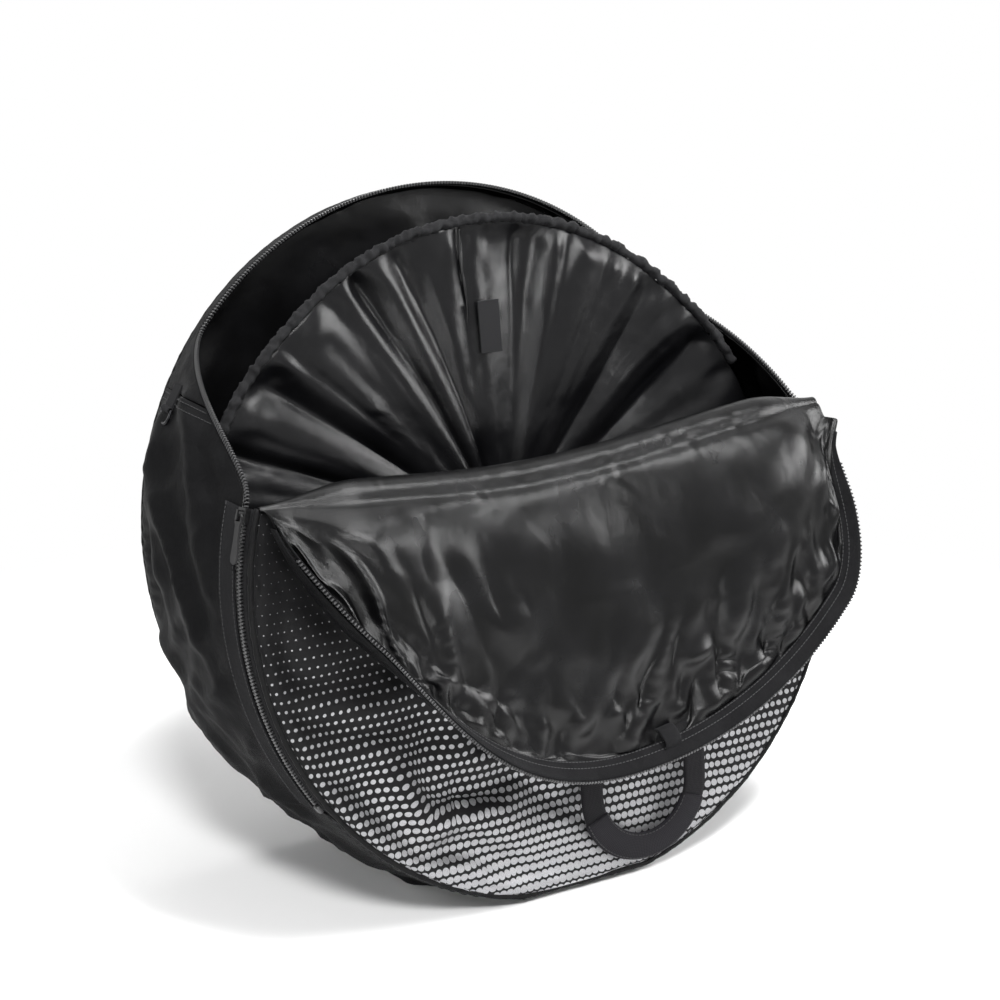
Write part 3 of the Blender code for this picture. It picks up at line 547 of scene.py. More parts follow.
def dotted_print(name, size):
    """Black polyester printed with rows of silver foil dots that grow towards the bottom."""
    made, tree, shader = start_material(name, {"Specular IOR Level": 0.14})
    uv = node(tree, "UVMap", out=0, uv_map="Cloth")
    pitch, row = size.dot_pitch, size.dot_row
    cells = node(tree, "VectorMath", {0: uv, 1: (1 / pitch, 1 / row, 0)}, 0, operation="MULTIPLY")
    split = node(tree, "SeparateXYZ", {0: cells})
    line = node(tree, "Math", {0: split.outputs[1]}, 0, operation="FLOOR")
    odd = node(tree, "Math", {0: line, 1: 1.0}, 0, operation="PINGPONG")
    across = node(tree, "Math", {0: odd, 1: 0.5, 2: split.outputs[0]}, 0, operation="MULTIPLY_ADD")
    joined = node(tree, "CombineXYZ", {0: across, 1: split.outputs[1]}, 0)
    inside = node(tree, "VectorMath", {0: joined}, 0, operation="FRACTION")
    centred = node(tree, "VectorMath", {0: inside, 1: (0.5, 0.5, 0)}, 0, operation="SUBTRACT")
    # Oval dots, which fill a growing share of their cell from row to row
    stretch, smallest, largest = (0.90, 1.14, 0), 0.04, 0.51
    oval = node(tree, "VectorMath", {0: centred, 1: stretch}, 0, operation="MULTIPLY")
    off = node(tree, "VectorMath", {0: oval}, "Value", operation="LENGTH")
    growth = {0: line, 1: DOTS_START / row, 2: DOTS_END / row, 3: smallest, 4: largest}
    radius = node(tree, "MapRange", growth, 0)
    share = node(tree, "Math", {0: off, 1: radius}, 0, operation="DIVIDE")
    dot = node(tree, "MapRange", {0: share, 1: 1.05, 2: 0.95}, 0)
    cross = weave(tree, uv, size.thread)
    # The weave's dips are drawn darker and its crossings lighter on dots and ground: painted shade and
    # painted highlight
    shade = node(tree, "MapRange", {0: cross, 1: -1.0, 2: 1.0, 3: 0.82, 4: 1.05}, 0)
    wear = node(tree, "TexNoise", {"Vector": uv, "Scale": 1 / FOIL_WEAR, "Detail": 3.0}, 0)
    silver = node(tree, "Mix", {0: wear, 6: srgb("68686a"), 7: srgb("b2b2b4")}, 2, data_type="RGBA")
    ground = node(tree, "Mix", {0: wear, 6: srgb("060607"), 7: srgb("0e0e0f")}, 2, data_type="RGBA")
    both = node(tree, "Mix", {0: dot, 6: ground, 7: silver}, 2, data_type="RGBA")
    colour = node(tree, "VectorMath", {0: both, "Scale": shade}, 0, operation="SCALE")
    foil = node(tree, "Math", {0: dot, 1: 0.65}, 0, operation="MULTIPLY")
    gloss = node(tree, "MapRange", {0: dot, 3: 0.6, 4: 0.38}, 0)
    soft = node(tree, "TexNoise", {"Vector": uv, "Scale": 1 / PRINT_CRUMPLE, "Detail": 3.0}, 0)
    low = node(tree, "Bump", {"Height": soft, "Strength": 0.8, "Distance": 0.003}, 0)
    fine = node(tree, "Bump", {"Height": cross, "Strength": 0.5, "Distance": 0.00012, "Normal": low}, 0)
    wire(tree, shader, colour, gloss, fine, foil)
    return made


def webbing(name, light, dark):
    """Woven strap: slanted yarns, dull, with a faint purple cast of cheap black dye."""
    made, tree, shader = start_material(name, {
        "Roughness": 0.72, "Sheen Weight": 0.03, "Sheen Roughness": 0.4, "Sheen Tint": srgb("aaa6b4"),
        "Specular IOR Level": 0.12})
    uv = node(tree, "UVMap", out=0, uv_map="Cloth")
    # Yarns 1.9 mm long in rows 1.6 mm apart
    yarn, row = 0.0019, 0.0016
    turned = node(tree, "VectorMath", {0: uv, 1: (TAU / yarn, TAU / row, 0)}, 0, operation="MULTIPLY")
    split = node(tree, "SeparateXYZ", {0: turned})
    ripple = node(tree, "Math", {0: split.outputs[1]}, 0, operation="SINE")
    bent = node(tree, "Math", {0: ripple, 1: 1.3, 2: split.outputs[0]}, 0, operation="MULTIPLY_ADD")
    slant = node(tree, "Math", {0: bent}, 0, operation="SINE")
    ribs = node(tree, "Math", {0: split.outputs[1]}, 0, operation="COSINE")
    height = node(tree, "Math", {0: ribs, 1: 0.7, 2: slant}, 0, operation="MULTIPLY_ADD")
    # The yarns' tops are drawn lighter and the gaps between them darker: painted highlight and painted shade
    tone = node(tree, "MapRange", {0: height, 1: -1.7, 2: 1.7}, 0)
    colour = node(tree, "Mix", {0: tone, 6: srgb(dark), 7: srgb(light)}, 2, data_type="RGBA")
    normal = node(tree, "Bump", {"Height": height, "Strength": 0.7, "Distance": 0.0002}, 0)
    wire(tree, shader, colour, None, normal)
    return made


def mottled(name, light, dark, rough, grain, metallic=0.0, relief=0.0001, shine=0.5):
    """Moulded or cast trim: a fine grain in colour, gloss and relief; grain is its size in metres."""
    made, tree, shader = start_material(name, {"Metallic": metallic, "Specular IOR Level": shine})
    where = node(tree, "TexCoord").outputs["Object"]
    grains = node(tree, "TexNoise", {"Vector": where, "Scale": 1 / grain, "Detail": 5.0}, 0)
    colour, gloss = tones(tree, grains, light, dark, rough, 0.06, 0.08)
    normal = node(tree, "Bump", {"Height": grains, "Strength": 0.5, "Distance": relief}, 0)
    wire(tree, shader, colour, gloss, normal)
    return made


MATERIALS = {}


def make_materials(size):
    """Makes each cloth, webbing, metal and plastic of the bag."""
    t = size.thread
    MATERIALS.update({
        # 600 denier polyester, woven and coated: dull black, threads just visible
        "poly": woven("Black_Polyester", "0b0b0c", "050506", 0.5, t, 0.00016, 0.006),
        # Polyester satin: near black with bright soft highlights on its creases
        "satin": satin_cloth("Satin_Lining", "060607", "030303", 0.24, t / 2),
        "divider": satin_cloth("Divider_Satin", "0c0c0d", "060607", 0.23, t / 2),
        "print": dotted_print("Dot_Print", size),
        # Knitted zip tape and facing webbing: dull dark grey with a coarse thread
        "tape": woven("Zip_Tape", "161617", "0d0d0e", 0.85, t * 1.2, 0.00025, 0.03),
        "facing": woven("Facing_Webbing", "1b1b1c", "101011", 0.85, t * 1.5, 0.0003, 0.03),
        # Bias-cut coated cloth over a cord: slightly glossy
        "piping": woven("Piping_Cloth", "151515", "0d0d0e", 0.48, t * 0.9, 0.0001),
        # Elastic gathered into its casing: soft gloss on each gather
        "elastic": woven("Elastic_Hem", "1e1e1f", "131314", 0.5, t, 0.0003, 0.04),
        "webbing": webbing("Handle_Webbing", "151417", "09090a"),
        "grip": webbing("Grip_Webbing", "1a191d", "0c0b0d"),
        # Loop side of a hook-and-loop pad: matt, no gloss at all
        "hook": woven("Hook_Loop", "232324", "161617", 0.95, t * 1.8, 0.0006, 0.06),
        # Moulded nylon teeth, cast and blacked zinc, soft rubber, blackened steel wire
        "nylon": mottled("Zip_Nylon", "262627", "161617", 0.34, 0.00125, shine=0.6),
        "zinc": mottled("Slider_Zinc", "1c1c1d", "0f0f10", 0.34, 0.002, 0.6),
        "rubber": mottled("Pull_Rubber", "161617", "0d0d0e", 0.5, 0.0011, relief=0.0002, shine=0.3),
        "steel": mottled("Ring_Steel", "343436", "1e1e20", 0.3, 0.0033, 0.9),
        "thread": mottled("Thread", "2e2e2f", "1d1d1e", 0.8, 0.0005),
    })


# Front and rear panels

def rows_grid(vs, radius, cols):
    """u and v grids of a round panel for rows at vs, with points closer together near its edge."""
    spread = 0.9
    shares = np.sin(np.linspace(-pi / 2, pi / 2, cols) * spread) / sin(pi / 2 * spread)
    halves = np.array([sqrt(radius ** 2 - q * q) for q in vs])
    return halves[:, None] * shares[None, :], np.repeat(np.asarray(vs)[:, None], cols, 1)


def fold_shift(u):
    """How far the fold line hangs off its straight line: it sags at the left and rises at the right."""
    sag, middle, spread = 0.014, -0.06, 0.16
    rise, start, run = 0.013, 0.05, 0.25
    return rise * smooth((u - start) / run) - sag * np.exp(-((u - middle) / spread) ** 2)


def lower_panel(size):
    """The printed front below the fold: slack cloth with waves that run down to the right."""
    rows, cols, radius = 92, 132, 0.3318
    top, floor_v = FOLD - CLEAR, -BASE_DROP + SIDE_THICK
    vs = floor_v + (top - floor_v) * (1 - np.cos(np.linspace(0.12, pi / 2, rows)))
    vs[0], vs[-1] = floor_v, top
    u, v = rows_grid(vs, radius, cols)
    edge = np.minimum(radius - np.hypot(u, v), v - floor_v)
    slack = smooth(edge / 0.035)
    # Waves 72 mm apart, bent by noise, with some creases, and deepest at the lower left
    spacing = 0.072
    across = (u * 0.42 + v * 0.91) / spacing + 1.1 * fbm(u * 5, v * 5, 2.0)
    waves = np.cos(TAU * across) * (0.55 + 0.45 * fbm(u * 4 + 3, v * 4, 5.0))
    waves += 0.5 * (ridge(u * 6 + v * 9, v * 3 - u * 5, 8.0) - 0.3)
    lower_left = np.exp(-((u + 0.13) / 0.17) ** 2 - ((v + 0.19) / 0.13) ** 2)
    depth = size.wave * waves * (0.35 + 0.8 * lower_left)
    proud, sewn_in, puff, deepest = 0.0008, 0.002, 0.004, 0.0020
    w = proud - sewn_in * smooth(edge / 0.014) + slack * (puff + depth)
    handle_room = smooth(1.6 - np.hypot((u - 0.07) / 0.09, (v + 0.21) / 0.12))
    w = np.maximum(w, -deepest * slack) + 0.0015 * handle_room * slack
    shift = fold_shift(u) * smooth((v - 0.02) / (top - 0.02))
    front = place(u, w, v + shift)
    pinned = np.zeros(u.shape, bool)
    pinned[[0, -1]] = pinned[:, [0, -1]] = True
    pinned[-3:] = True
    front = settle(front, pinned, growth=0.02, push=0.2, gravity=0.3, frames=18, cap=0.006, side=-1)
    # The back follows the front, so that no wave comes through it
    thick, plump, behind, narrower = 0.0085, 0.004, 0.0045, 0.998
    back = place(u * narrower, np.maximum(thick + plump * slack, w + behind * slack), v + shift)
    uv = np.stack([u, v], -1)
    obj = shell("front_shell", front, back, uv, [MATERIALS["print"], MATERIALS["satin"], MATERIALS["print"]])
    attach(obj, "bag")
    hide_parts("front_panel", "front_foam", "front_lining")


def rear_panel():
    """The rear: coated cloth with a soft puff outside, flat behind the handle, and satin inside."""
    rows, cols, radius = 84, 72, 0.3334
    low, high = -0.3238, radius - 0.0001
    vs = low + (high - low) * (1 - np.cos(np.linspace(0.1, pi, rows))) / 2
    u, v = rows_grid(vs, radius, cols)
    slack = smooth((radius - np.hypot(u, v)) / 0.03)
    handle_room = smooth((0.125 - np.abs(u)) / 0.03) * smooth((v + 0.08) / 0.03) * smooth((0.30 - v) / 0.03)
    puff = slack * (0.002 + 0.003 * fbm(u * 6, v * 6, 5.0) + 0.003 * ridge(u * 3, v * 5, 3.0))
    puff = puff * (1 - handle_room) - 0.0004 * handle_room
    sunk, thick = 0.0007, 0.0078
    outer = place(u, DEPTH - sunk + puff, v)
    ripple = slack * 0.004 * (ridge(u * 4, v * 7, 7.0) + 0.5 * fbm(u * 9, v * 9, 4.0))
    inner = place(u, DEPTH - thick - ripple, v)
    uv = np.stack([u, v], -1)
    obj = shell("rear_shell", outer, inner, uv, [MATERIALS["poly"], MATERIALS["satin"]])
    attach(obj, "bag")
    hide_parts("rear_panel", "rear_foam", "rear_lining")


# Flap

def band_share(angle):
    """Angle past either end of the flap's band."""
    return np.minimum(angle, pi - angle) - BAND_START


def band_width(angle):
    """Width of the band, full in the middle and narrow at its ends."""
    share = band_share(angle) / (BAND_FULL - BAND_START)
    return BAND_NARROW + (BAND_CLOTH - BAND_NARROW) * smooth(share)


def tape_width(angle):
    """The flap's zip tape, which runs out at the ends of the band."""
    least, more, run_out = 0.002, 0.020, 0.2
    return least + more * smooth(band_share(angle) / run_out)


def band_lift(angle):
    """How far the band stands forward of the panel's plane, as an angle, eased between set places."""
    places, lifts = (np.array(c, float) for c in zip(*BAND_LIFTS))
    q = np.clip(np.degrees(angle), places[0], places[-1])
    i = np.clip(np.searchsorted(places, q) - 1, 0, len(places) - 2)
    share = smooth((q - places[i]) / (places[i + 1] - places[i]))
    return np.radians(lifts[i] + (lifts[i + 1] - lifts[i]) * share)


def band_point(angle, across, off):
    """World points on the flap's band, across from its seam, off outwards from its inner face."""
    lift = band_lift(angle)
    radius = SEAM_R + across * np.cos(lift) + off * np.sin(lift)
    forward = PIPING_W + across * np.sin(lift) - off * np.cos(lift)
    return place(radius * np.cos(angle), FLAP_W - forward, 2 * FOLD - radius * np.sin(angle))


def band_axes(angles, across):
    """Centres on the band and the directions along, across and off it, at each angle."""
    e = 1e-3
    p = band_point(angles, across, BAND_FACE)
    along = unit(band_point(angles + e, across, BAND_FACE) - band_point(angles - e, across, BAND_FACE))
    over = unit(band_point(angles, across + e, BAND_FACE) - band_point(angles, across - e, BAND_FACE))
    off = unit(np.cross(over, along))
    out = band_point(angles, across, e) - band_point(angles, across, 0)
    return p, along, over, off * np.sign((off * out).sum(-1, keepdims=True))


def flap_shell(size):
    """Upper front hanging inside out: satin from the fold to the zip tape, the panel behind it."""
    radius, cols, arcs, rows = 0.3340, 156, 9, 62
    first = asin(FOLD / radius)
    a = np.linspace(pi - first, first, cols)
    even = 1 - 2 * (a - first) / (pi - 2 * first)
    u0 = sqrt(radius ** 2 - FOLD ** 2) * (0.5 * np.cos(a) / cos(first) + 0.5 * even)
    # The roll at the fold, outside and inside, thinner at its ends where the seam pinches it
    roll, roll_inside = 0.0205, 0.0116
    pinch = smooth((np.abs(u0) - 0.225) / 0.093) * np.where(u0 < 0, 1.0, 0.8)
    slim = 1 - 0.85 * pinch
    axis = 0.013 * pinch - FOLD_OUT
    arc = np.linspace(0, pi, arcs)[:, None]
    front_arc, back_arc = (place(u0 + 0 * arc, axis + r * slim * np.cos(arc), FOLD + r * slim * np.sin(arc))
                           for r in (roll, roll_inside))
    # From the roll down to the panel's seam, then out over the band to the zip tape
    width = band_width(a)
    seam, seam_back = (place(SEAM_R * np.cos(a), FLAP_W - out, 2 * FOLD - SEAM_R * np.sin(a))
                       for out in (0.0095, 0.0035))
    edge = band_point(a, np.maximum(width - 0.011, 0.002), -0.0006)
    edge_back = band_point(a, width - 0.001, 0.0010)
    top, top_back = front_arc[-1], back_arc[-1]
    fall = np.linalg.norm(seam - top, axis=1)
    over = np.linalg.norm(edge - seam, axis=1)
    corner = (fall / (fall + over))[None, :, None]
    s = np.linspace(0, 1, rows + 1)[1:, None, None]

    def bent(p, q, r):
        """Rows from p to r by way of the corner at q."""
        return np.where(s < corner, p + (q - p) * s / corner, q + (r - q) * (s - corner) / (1 - corner))

    main = 0.2 * bent(top, seam, edge) + 0.8 * (top + (edge - top) * s)
    s2, deg = s[..., 0], np.degrees(a)[None, :]
    length = (fall + over)[None, :]
    rim = a[None, :] * BAND_UV_R
    billow = size.billow * np.sin(pi * s2 ** 0.62) * smooth(length / 0.16) * (1 + 0.25 * np.cos(a))
    # Folds fan in from the rim at the lower left and the lower right, with small ones along the zip
    left_high, right_high, zip_high, broad_high, mean = 0.014, 0.017, 0.007, 0.010, 0.35
    left = np.exp(-((deg - 137) / 24) ** 2) * smooth((s2 - 0.12) / 0.5)
    right = np.exp(-((deg - 62) / 28) ** 2) * smooth((s2 - 0.42) / 0.4)
    folds = left_high * (ridge(rim * 12 + s2 * 1.5, s2 * 1.2, 3.0) - mean) * left
    folds += right_high * (ridge(rim * 16 - s2 * 1.2, s2 * 1.8, 11.0) - mean) * right
    folds += zip_high * (ridge(rim * 22, s2 * 2.4, 17.0) - mean) * smooth((s2 - 0.62) / 0.25)
    folds += broad_high * fbm(rim * 7, s2 * 2.6, 6.0, 2) * np.sin(pi * s2)
    calm = smooth((1 - s2) / 0.05)
    lift = billow + folds * calm * smooth(length / 0.12)
    main = main + np.array([0, -cos(LEAN), sin(LEAN)]) * lift[..., None]
    shift = fold_shift(u0)[None, :] * np.concatenate([np.ones(arcs), smooth(1 - s2[:, 0] / 0.35)])[:, None]
    sag = np.stack([0 * shift, shift * sin(LEAN), shift * cos(LEAN)], -1)
    front = np.concatenate([front_arc, main]) + sag
    back = np.concatenate([back_arc, bent(top_back, seam_back, edge_back)]) + sag
    # The simulation is held near the roll and at the ends, where the cloth is tight
    pinned = np.zeros(front.shape[:2], bool)
    pinned[-1] = pinned[:arcs - 3] = True
    pinned[:, :5] = pinned[:, -5:] = True
    free = np.concatenate([np.zeros(arcs), smooth(s2[:, 0] / 0.3)])[:, None] * smooth((length - 0.17) / 0.10)
    cap = 0.014 * free[..., None]
    front = settle(front, pinned, growth=0.05, push=0.30, gravity=0.5, frames=26, cap=cap)
    steps = np.linalg.norm(np.diff(front, axis=0), axis=2)
    down = np.concatenate([np.zeros((1, cols)), np.cumsum(steps, 0)])
    uv = np.stack([np.repeat(rim, len(front), 0), -down], -1)
    obj = shell("flap_shell", front, back, uv, [MATERIALS["satin"], MATERIALS["poly"], MATERIALS["satin"]])
    place(0, 0.004, FOLD)
    place(0, -0.0232, FOLD)
    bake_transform(obj)
    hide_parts("front_fold", "flap_panel", "flap_foam", "flap_lining")


def flap_band(size):
    """Gusset cloth round the flap's back, with its zip tape, its teeth and its piping."""
    a = np.linspace(BAND_START, pi - BAND_START, 200)
    width = band_width(a)
    t = np.linspace(0, 1, 14)[:, None]
    seam_lap, outer_face, crumple_high = 0.003, 0.0036, 0.004
    across = width * t - seam_lap * (1 - t)
    slack = np.sin(pi * t) * width / BAND_CLOTH
    crumple = crumple_high * (ridge(a[None, :] * 14 + t, t * 1.4, 11.0) - 0.2) * slack
    inner = band_point(a, across, BAND_FACE + 0 * crumple)
    outer = band_point(a, across, outer_face + crumple)
    uv = np.stack(np.broadcast_arrays(a * BAND_UV_R, across), -1)
    obj = shell("flap_band", inner, outer, uv, [MATERIALS["poly"]])
    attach(obj, "flap")
    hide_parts("flap_gusset")
    tape_lap, tape_under = 0.0015, 0.0028
    centre, along, over, off = band_axes(a, width - tape_lap)
    centre = centre - off * tape_under
    tape = ribbon("flap_tape_cloth", centre, over, off, tape_width(a), 0.0010, [MATERIALS["tape"]], "flap")
    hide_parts("flap_tape")
    seams, thread_up = (-0.0095, -0.0025), 0.0007
    paths = [[(c + o * far - n * thread_up, -n) for c, o, n in zip(centre, over, off)] for far in seams]
    stitches("flap_tape_thread", paths, MATERIALS["thread"], "flap", size.stitch)
    # The teeth stop short of the tape's ends and stand half on its edge
    clear, tape_r, seat, sunk = 0.09, RIM + 0.04, 0.0022, 0.0004
    a = np.arange(BAND_START + clear, pi - BAND_START - clear, size.tooth / tape_r)
    p, along, over, off = band_axes(a, band_width(a) + tape_width(a) / 2 - seat)
    teeth = blocks("flap_teeth_row", list(zip(p - off * sunk, along, over, off)), FLAP_TOOTH_SIZE,
                   MATERIALS["nylon"], "flap", TOOTH_CHAMFER)
    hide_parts("flap_teeth")
    # The cord stops short of the fold, so that it clears the front one when the flap is closed
    end = asin(FOLD / PIPING_R) + 0.08
    a = np.linspace(end, pi - end, 150)
    path = place(PIPING_R * np.cos(a), FLAP_W - PIPING_W, 2 * FOLD - PIPING_R * np.sin(a))
    cord = tube("flap_cord", path, 0.0028, MATERIALS["piping"], ruche=0.25, body="flap")
    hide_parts("flap_piping")


def flap_tag():
    """Small tape loop that stands up from the satin beside the zip tape."""
    middle, width, thick = np.array([radians(80.5)]), 0.020, 0.0018
    from_edge, half_long, foot, rise = 0.014, 0.012, 0.0030, 0.0075
    centre, over, off = [], [], []
    for t in np.linspace(-1, 1, 17):
        p, along, _, out = band_axes(middle, BAND_CLOTH - from_edge + half_long * t)
        centre.append(p[0] - out[0] * (foot + rise * (1 - t ** 4)))
        over.append(along[0])
        off.append(-out[0])
    tag = ribbon("flap_tag", centre, over, off, width, thick, [MATERIALS["facing"]], "flap", 1)
    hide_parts("flap_loop")


# Gusset, the side between the panels

def gusset_points(a, w, drop, fold):
    """World points of the gusset, drop below its outer face, with its folds and gathers."""
    length = a * RIM
    # Gathers 12.5 mm apart beside both seams, which fade over 24 mm
    high, pitch, fade = 0.0016, 0.0125, 0.024
    near = np.exp(-np.maximum(w - SEAM_W, 0) / fade)
    far = np.exp(-np.maximum(REAR_SEAM - w, 0) / fade)
    gather = high * np.sin(TAU * length / pitch + 3 * fbm(length * 22, w * 8, 1.0)) * (near + far)
    # Broad swells and sharper folds in two sizes between the seams
    span = smooth((w - 0.035) / 0.05) * smooth((REAR_SEAM - w) / 0.04)
    folds = fold * 1.2 * fbm(length * 6 + w * 5, w * 9, 4.0, 2) * span
    folds += fold * 1.5 * (ridge(length * 6.5 + w * 8, w * 5, 9.0) - 0.35) * span
    folds += fold * 0.8 * (ridge(length * 13 - w * 9, w * 14, 15.0) - 0.3) * span
    # Beside the zip the cloth lies flat under the tape and frees itself over 50 mm
    zipped = np.where(gusset_edge(a) > SEAM_W + 0.001, smooth((w - gusset_edge(a)) / 0.05), 1)
    radius = RIM + swell(w) - drop + (gather + folds) * zipped
    u, v = rim_uv(radius, a, drop)
    return place(u, w, v)


def gusset_piece(name, first, last, count, rows, nodes, seams, size):
    """One length of the side between two angles, with its thread beside the seams across it."""
    a = np.linspace(first, last, count)
    near = gusset_edge(a)
    t = np.linspace(0, 1, rows)[:, None] ** 1.15
    w = near[None, :] + (REAR_SEAM - near)[None, :] * t
    angle = np.repeat(a[None, :], rows, 0)
    outer = gusset_points(angle, w, 0.0, size.fold)
    thin = 0.0035 + 0.0010 * np.sin(pi * t)
    crease = 0.003 * ridge(angle * 3, w * 16, 6.0) * np.sin(pi * t)
    inner = gusset_points(angle, w, thin + crease, size.fold)
    floor_cloth = 0.002
    outer[..., 2] = np.maximum(outer[..., 2], 0.0)
    inner[..., 2] = np.maximum(inner[..., 2], floor_cloth)
    uv = np.stack([angle * RIM, w], -1)
    obj = shell(name, outer, inner, uv, [MATERIALS["poly"], MATERIALS["satin"]])
    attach(obj, "bag")
    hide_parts(*nodes)
    inset, thread_up, points = 0.004, 0.0004, 60
    paths = []
    for edge, way in zip(seams, (1, -1)):
        for off in (0.004, 0.0105):
            s = edge + way * off / RIM
            ws = np.linspace(float(gusset_edge(s)) + inset, REAR_SEAM - inset, points)
            out, _ = radial(s)
            paths.append([(p, out) for p in gusset_points(np.full(points, s), ws, -thread_up, size.fold)])
    if paths:
        stitches(name + "_thread", paths, MATERIALS["thread"], "bag", size.stitch)


def gusset(size):
    """The side in two lengths, and the piping round both panels."""
    far_seam = TAU + pi - CROSS_SEAM
    gusset_piece("gusset_lower_cloth", CROSS_SEAM - SEAM_LAP, far_seam + SEAM_LAP, 300, 26,
                 ("gusset_lower", "gusset_lining_lower"), (CROSS_SEAM, far_seam), size)
    gusset_piece("gusset_upper_cloth", pi - CROSS_SEAM, CROSS_SEAM, 150, 14,
                 ("gusset_upper", "gusset_lining_upper"), (), size)
    end = asin(FOLD / PIPING_R)
    u, v = rim_uv(PIPING_R, np.linspace(pi - end, TAU + end, 300), RIM - PIPING_R)
    cord = tube("front_cord", place(u, PIPING_W, v), PIPING_THICK, MATERIALS["piping"], ruche=0.22)
    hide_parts("front_piping")
    u, v = rim_uv(PIPING_R, np.linspace(0, TAU, 420)[:-1], RIM - PIPING_R)
    path = place(u, DEPTH - PIPING_W, v)
    cord = tube("rear_cord", path, PIPING_THICK, MATERIALS["piping"], cyclic=True, ruche=0.22)
    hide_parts("rear_piping")


# Zip, sliders and rings

def on_rim(radius, a, w):
    """World point at a radius and an angle, at depth w, on the side's swell."""
    r = radius + float(swell(w))
    return place(r * cos(a), w, r * sin(a))


def arc_strip(name, first, last, near, far, height, thick, material):
    """Band on the gusset between two depths, each a number or a function of the angle."""
    step, rows = 0.005, 5
    a = np.linspace(first, last, max(int((last - first) * RIM / step), 8))
    starts, ends = (edge(a) if callable(edge) else a * 0 + edge for edge in (near, far))
    shares = np.linspace(0, 1, rows)[:, None]
    w = starts[None, :] * (1 - shares) + ends[None, :] * shares
    angle = np.repeat(a[None, :], rows, 0)
    radius = height + swell(w)
    outer = place(radius * np.cos(angle), w, radius * np.sin(angle))
    inner = place((radius - thick) * np.cos(angle), w, (radius - thick) * np.sin(angle))
    uv = np.stack([angle * RIM, w], -1)
    obj = shell(name, outer, inner, uv, [material], level=0)
    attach(obj, "bag")
    return obj


def radial(a):
    """Unit vector out of the bag at an angle, and along it."""
    out = np.array([cos(a), sin(a) * sin(LEAN), sin(a) * cos(LEAN)])
    along = np.array([-sin(a), cos(a) * sin(LEAN), cos(a) * cos(LEAN)])
    return out, along


def tooth_row(name, first, last, root, reach, odd, node_name, size):
    """Moulded teeth round the rim: root(a) is where they leave the tape, reach their length.

    Their spacing is drawn a little coarser than real, so that single teeth show.
    """
    frames = []
    step = size.tooth / RIM
    depth = np.array([0, cos(LEAN), -sin(LEAN)])
    e, rise = 0.002, 0.0013

    def lean(a):
        """Slope of the tape's edge."""
        return (float(root(a + e)) - float(root(a - e))) / (2 * e * RIM)

    def walk(a, end, way):
        """Angles one tooth apart along the tape, also where it slopes."""
        while (end - a) * way > 0:
            yield a
            a += way * step / sqrt(1 + lean(a) ** 2)

    low = (ceil(first / step) + odd / 2) * step
    high = (floor(last / step) - 1 + odd / 2) * step
    angles = list(walk(low, min(high, pi / 2), 1) if low < pi / 2 else walk(low, high, 1))
    if low < pi / 2 < high:
        angles += walk(high, pi / 2, -1)
    for a in angles:
        w = float(root(a)) + reach / 2
        out, along = radial(a)
        ex = unit(along + depth * lean(a))
        frames.append((on_rim(TAPE_TOP + rise, a, w), ex, np.cross(out, ex), out))
    obj = blocks(name, frames, TOOTH_SIZE, MATERIALS["nylon"], "bag", TOOTH_CHAMFER)
    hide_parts(node_name)


def side_zip(label, first, last, chain_end, size):
    """The closed chain at one side: front tape, teeth, webbing facing with its thread, end stop."""
    tape = arc_strip("front_tape_cloth_" + label, first, last, SEAM_W - 0.002, SEAM_W + TAPE_W,
                     TAPE_TOP, TAPE_THICK, MATERIALS["tape"])
    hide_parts("front_tape_" + label)
    clear = 0.012
    tooth_row("front_teeth_row_" + label, first + clear, last - clear, lambda a: CHAIN_FRONT, TOOTH_LONG, 0,
              "front_teeth_" + label, size)
    start = GUSSET_TAPE + TAPE_W + 0.0006
    facing = arc_strip("facing_cloth_" + label, first, last, start - 0.002, start + 0.024,
                       RIM + 0.0016, 0.0014, MATERIALS["facing"])
    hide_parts("zip_facing_" + label)
    paths = [[(on_rim(RIM + 0.0018, a, w), radial(a)[0]) for a in np.linspace(first, last, 90)]
             for w in (start + 0.0005, start + 0.0215)]
    stitches("facing_thread_" + label, paths, MATERIALS["thread"], "bag", size.stitch)
    out, along = radial(chain_end)
    w, r = (CHAIN_FRONT + CHAIN_BACK + TOOTH_LONG) / 2, TAPE_TOP + 0.0022
    middle = place(r * cos(chain_end), w, r * sin(chain_end))
    stop = blocks("zip_end_" + label, [(middle, along, np.cross(out, along), out)], STOP_SIZE,
                  MATERIALS["nylon"], "bag", TOOTH_CHAMFER)
    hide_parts("zip_stop_" + label)


def zip_parts(size):
    """The tape and teeth round the gusset, and the closed chain at each side."""
    low = pi - CHAIN_END
    tape = arc_strip("gusset_tape_cloth", low, CHAIN_END, tape_edge, lambda a: tape_edge(a) + 0.012,
                     TAPE_TOP, TAPE_THICK, MATERIALS["tape"])
    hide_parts("gusset_tape")
    clear = 0.02
    tooth_row("gusset_teeth_row", low + clear, CHAIN_END - clear, lambda a: tape_edge(a) + TOOTH_ROOT,
              -TOOTH_LONG, 1, "gusset_teeth", size)
    stop = CHAIN_END - 0.006
    side_zip("left", SLIDER_ANGLE, CHAIN_END, stop, size)
    side_zip("right", pi - CHAIN_END, pi - SLIDER_ANGLE, pi - stop, size)


def polish(name, source, material, body):
    """A smoother copy of a hard CAD piece that keeps its place."""
    width, crease = 0.0005, radians(45)
    obj = bpy.data.objects.new(name, bpy.data.objects[source].data.copy())
    bpy.context.collection.objects.link(obj)
    obj.data.materials.clear()
    obj.data.materials.append(material)
    bevel = obj.modifiers.new("bevel", "BEVEL")
    bevel.width = width
    bevel.segments = 3
    bevel.limit_method = "ANGLE"
    bevel.angle_limit = crease
    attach(obj, body)
    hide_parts(source)
    return obj


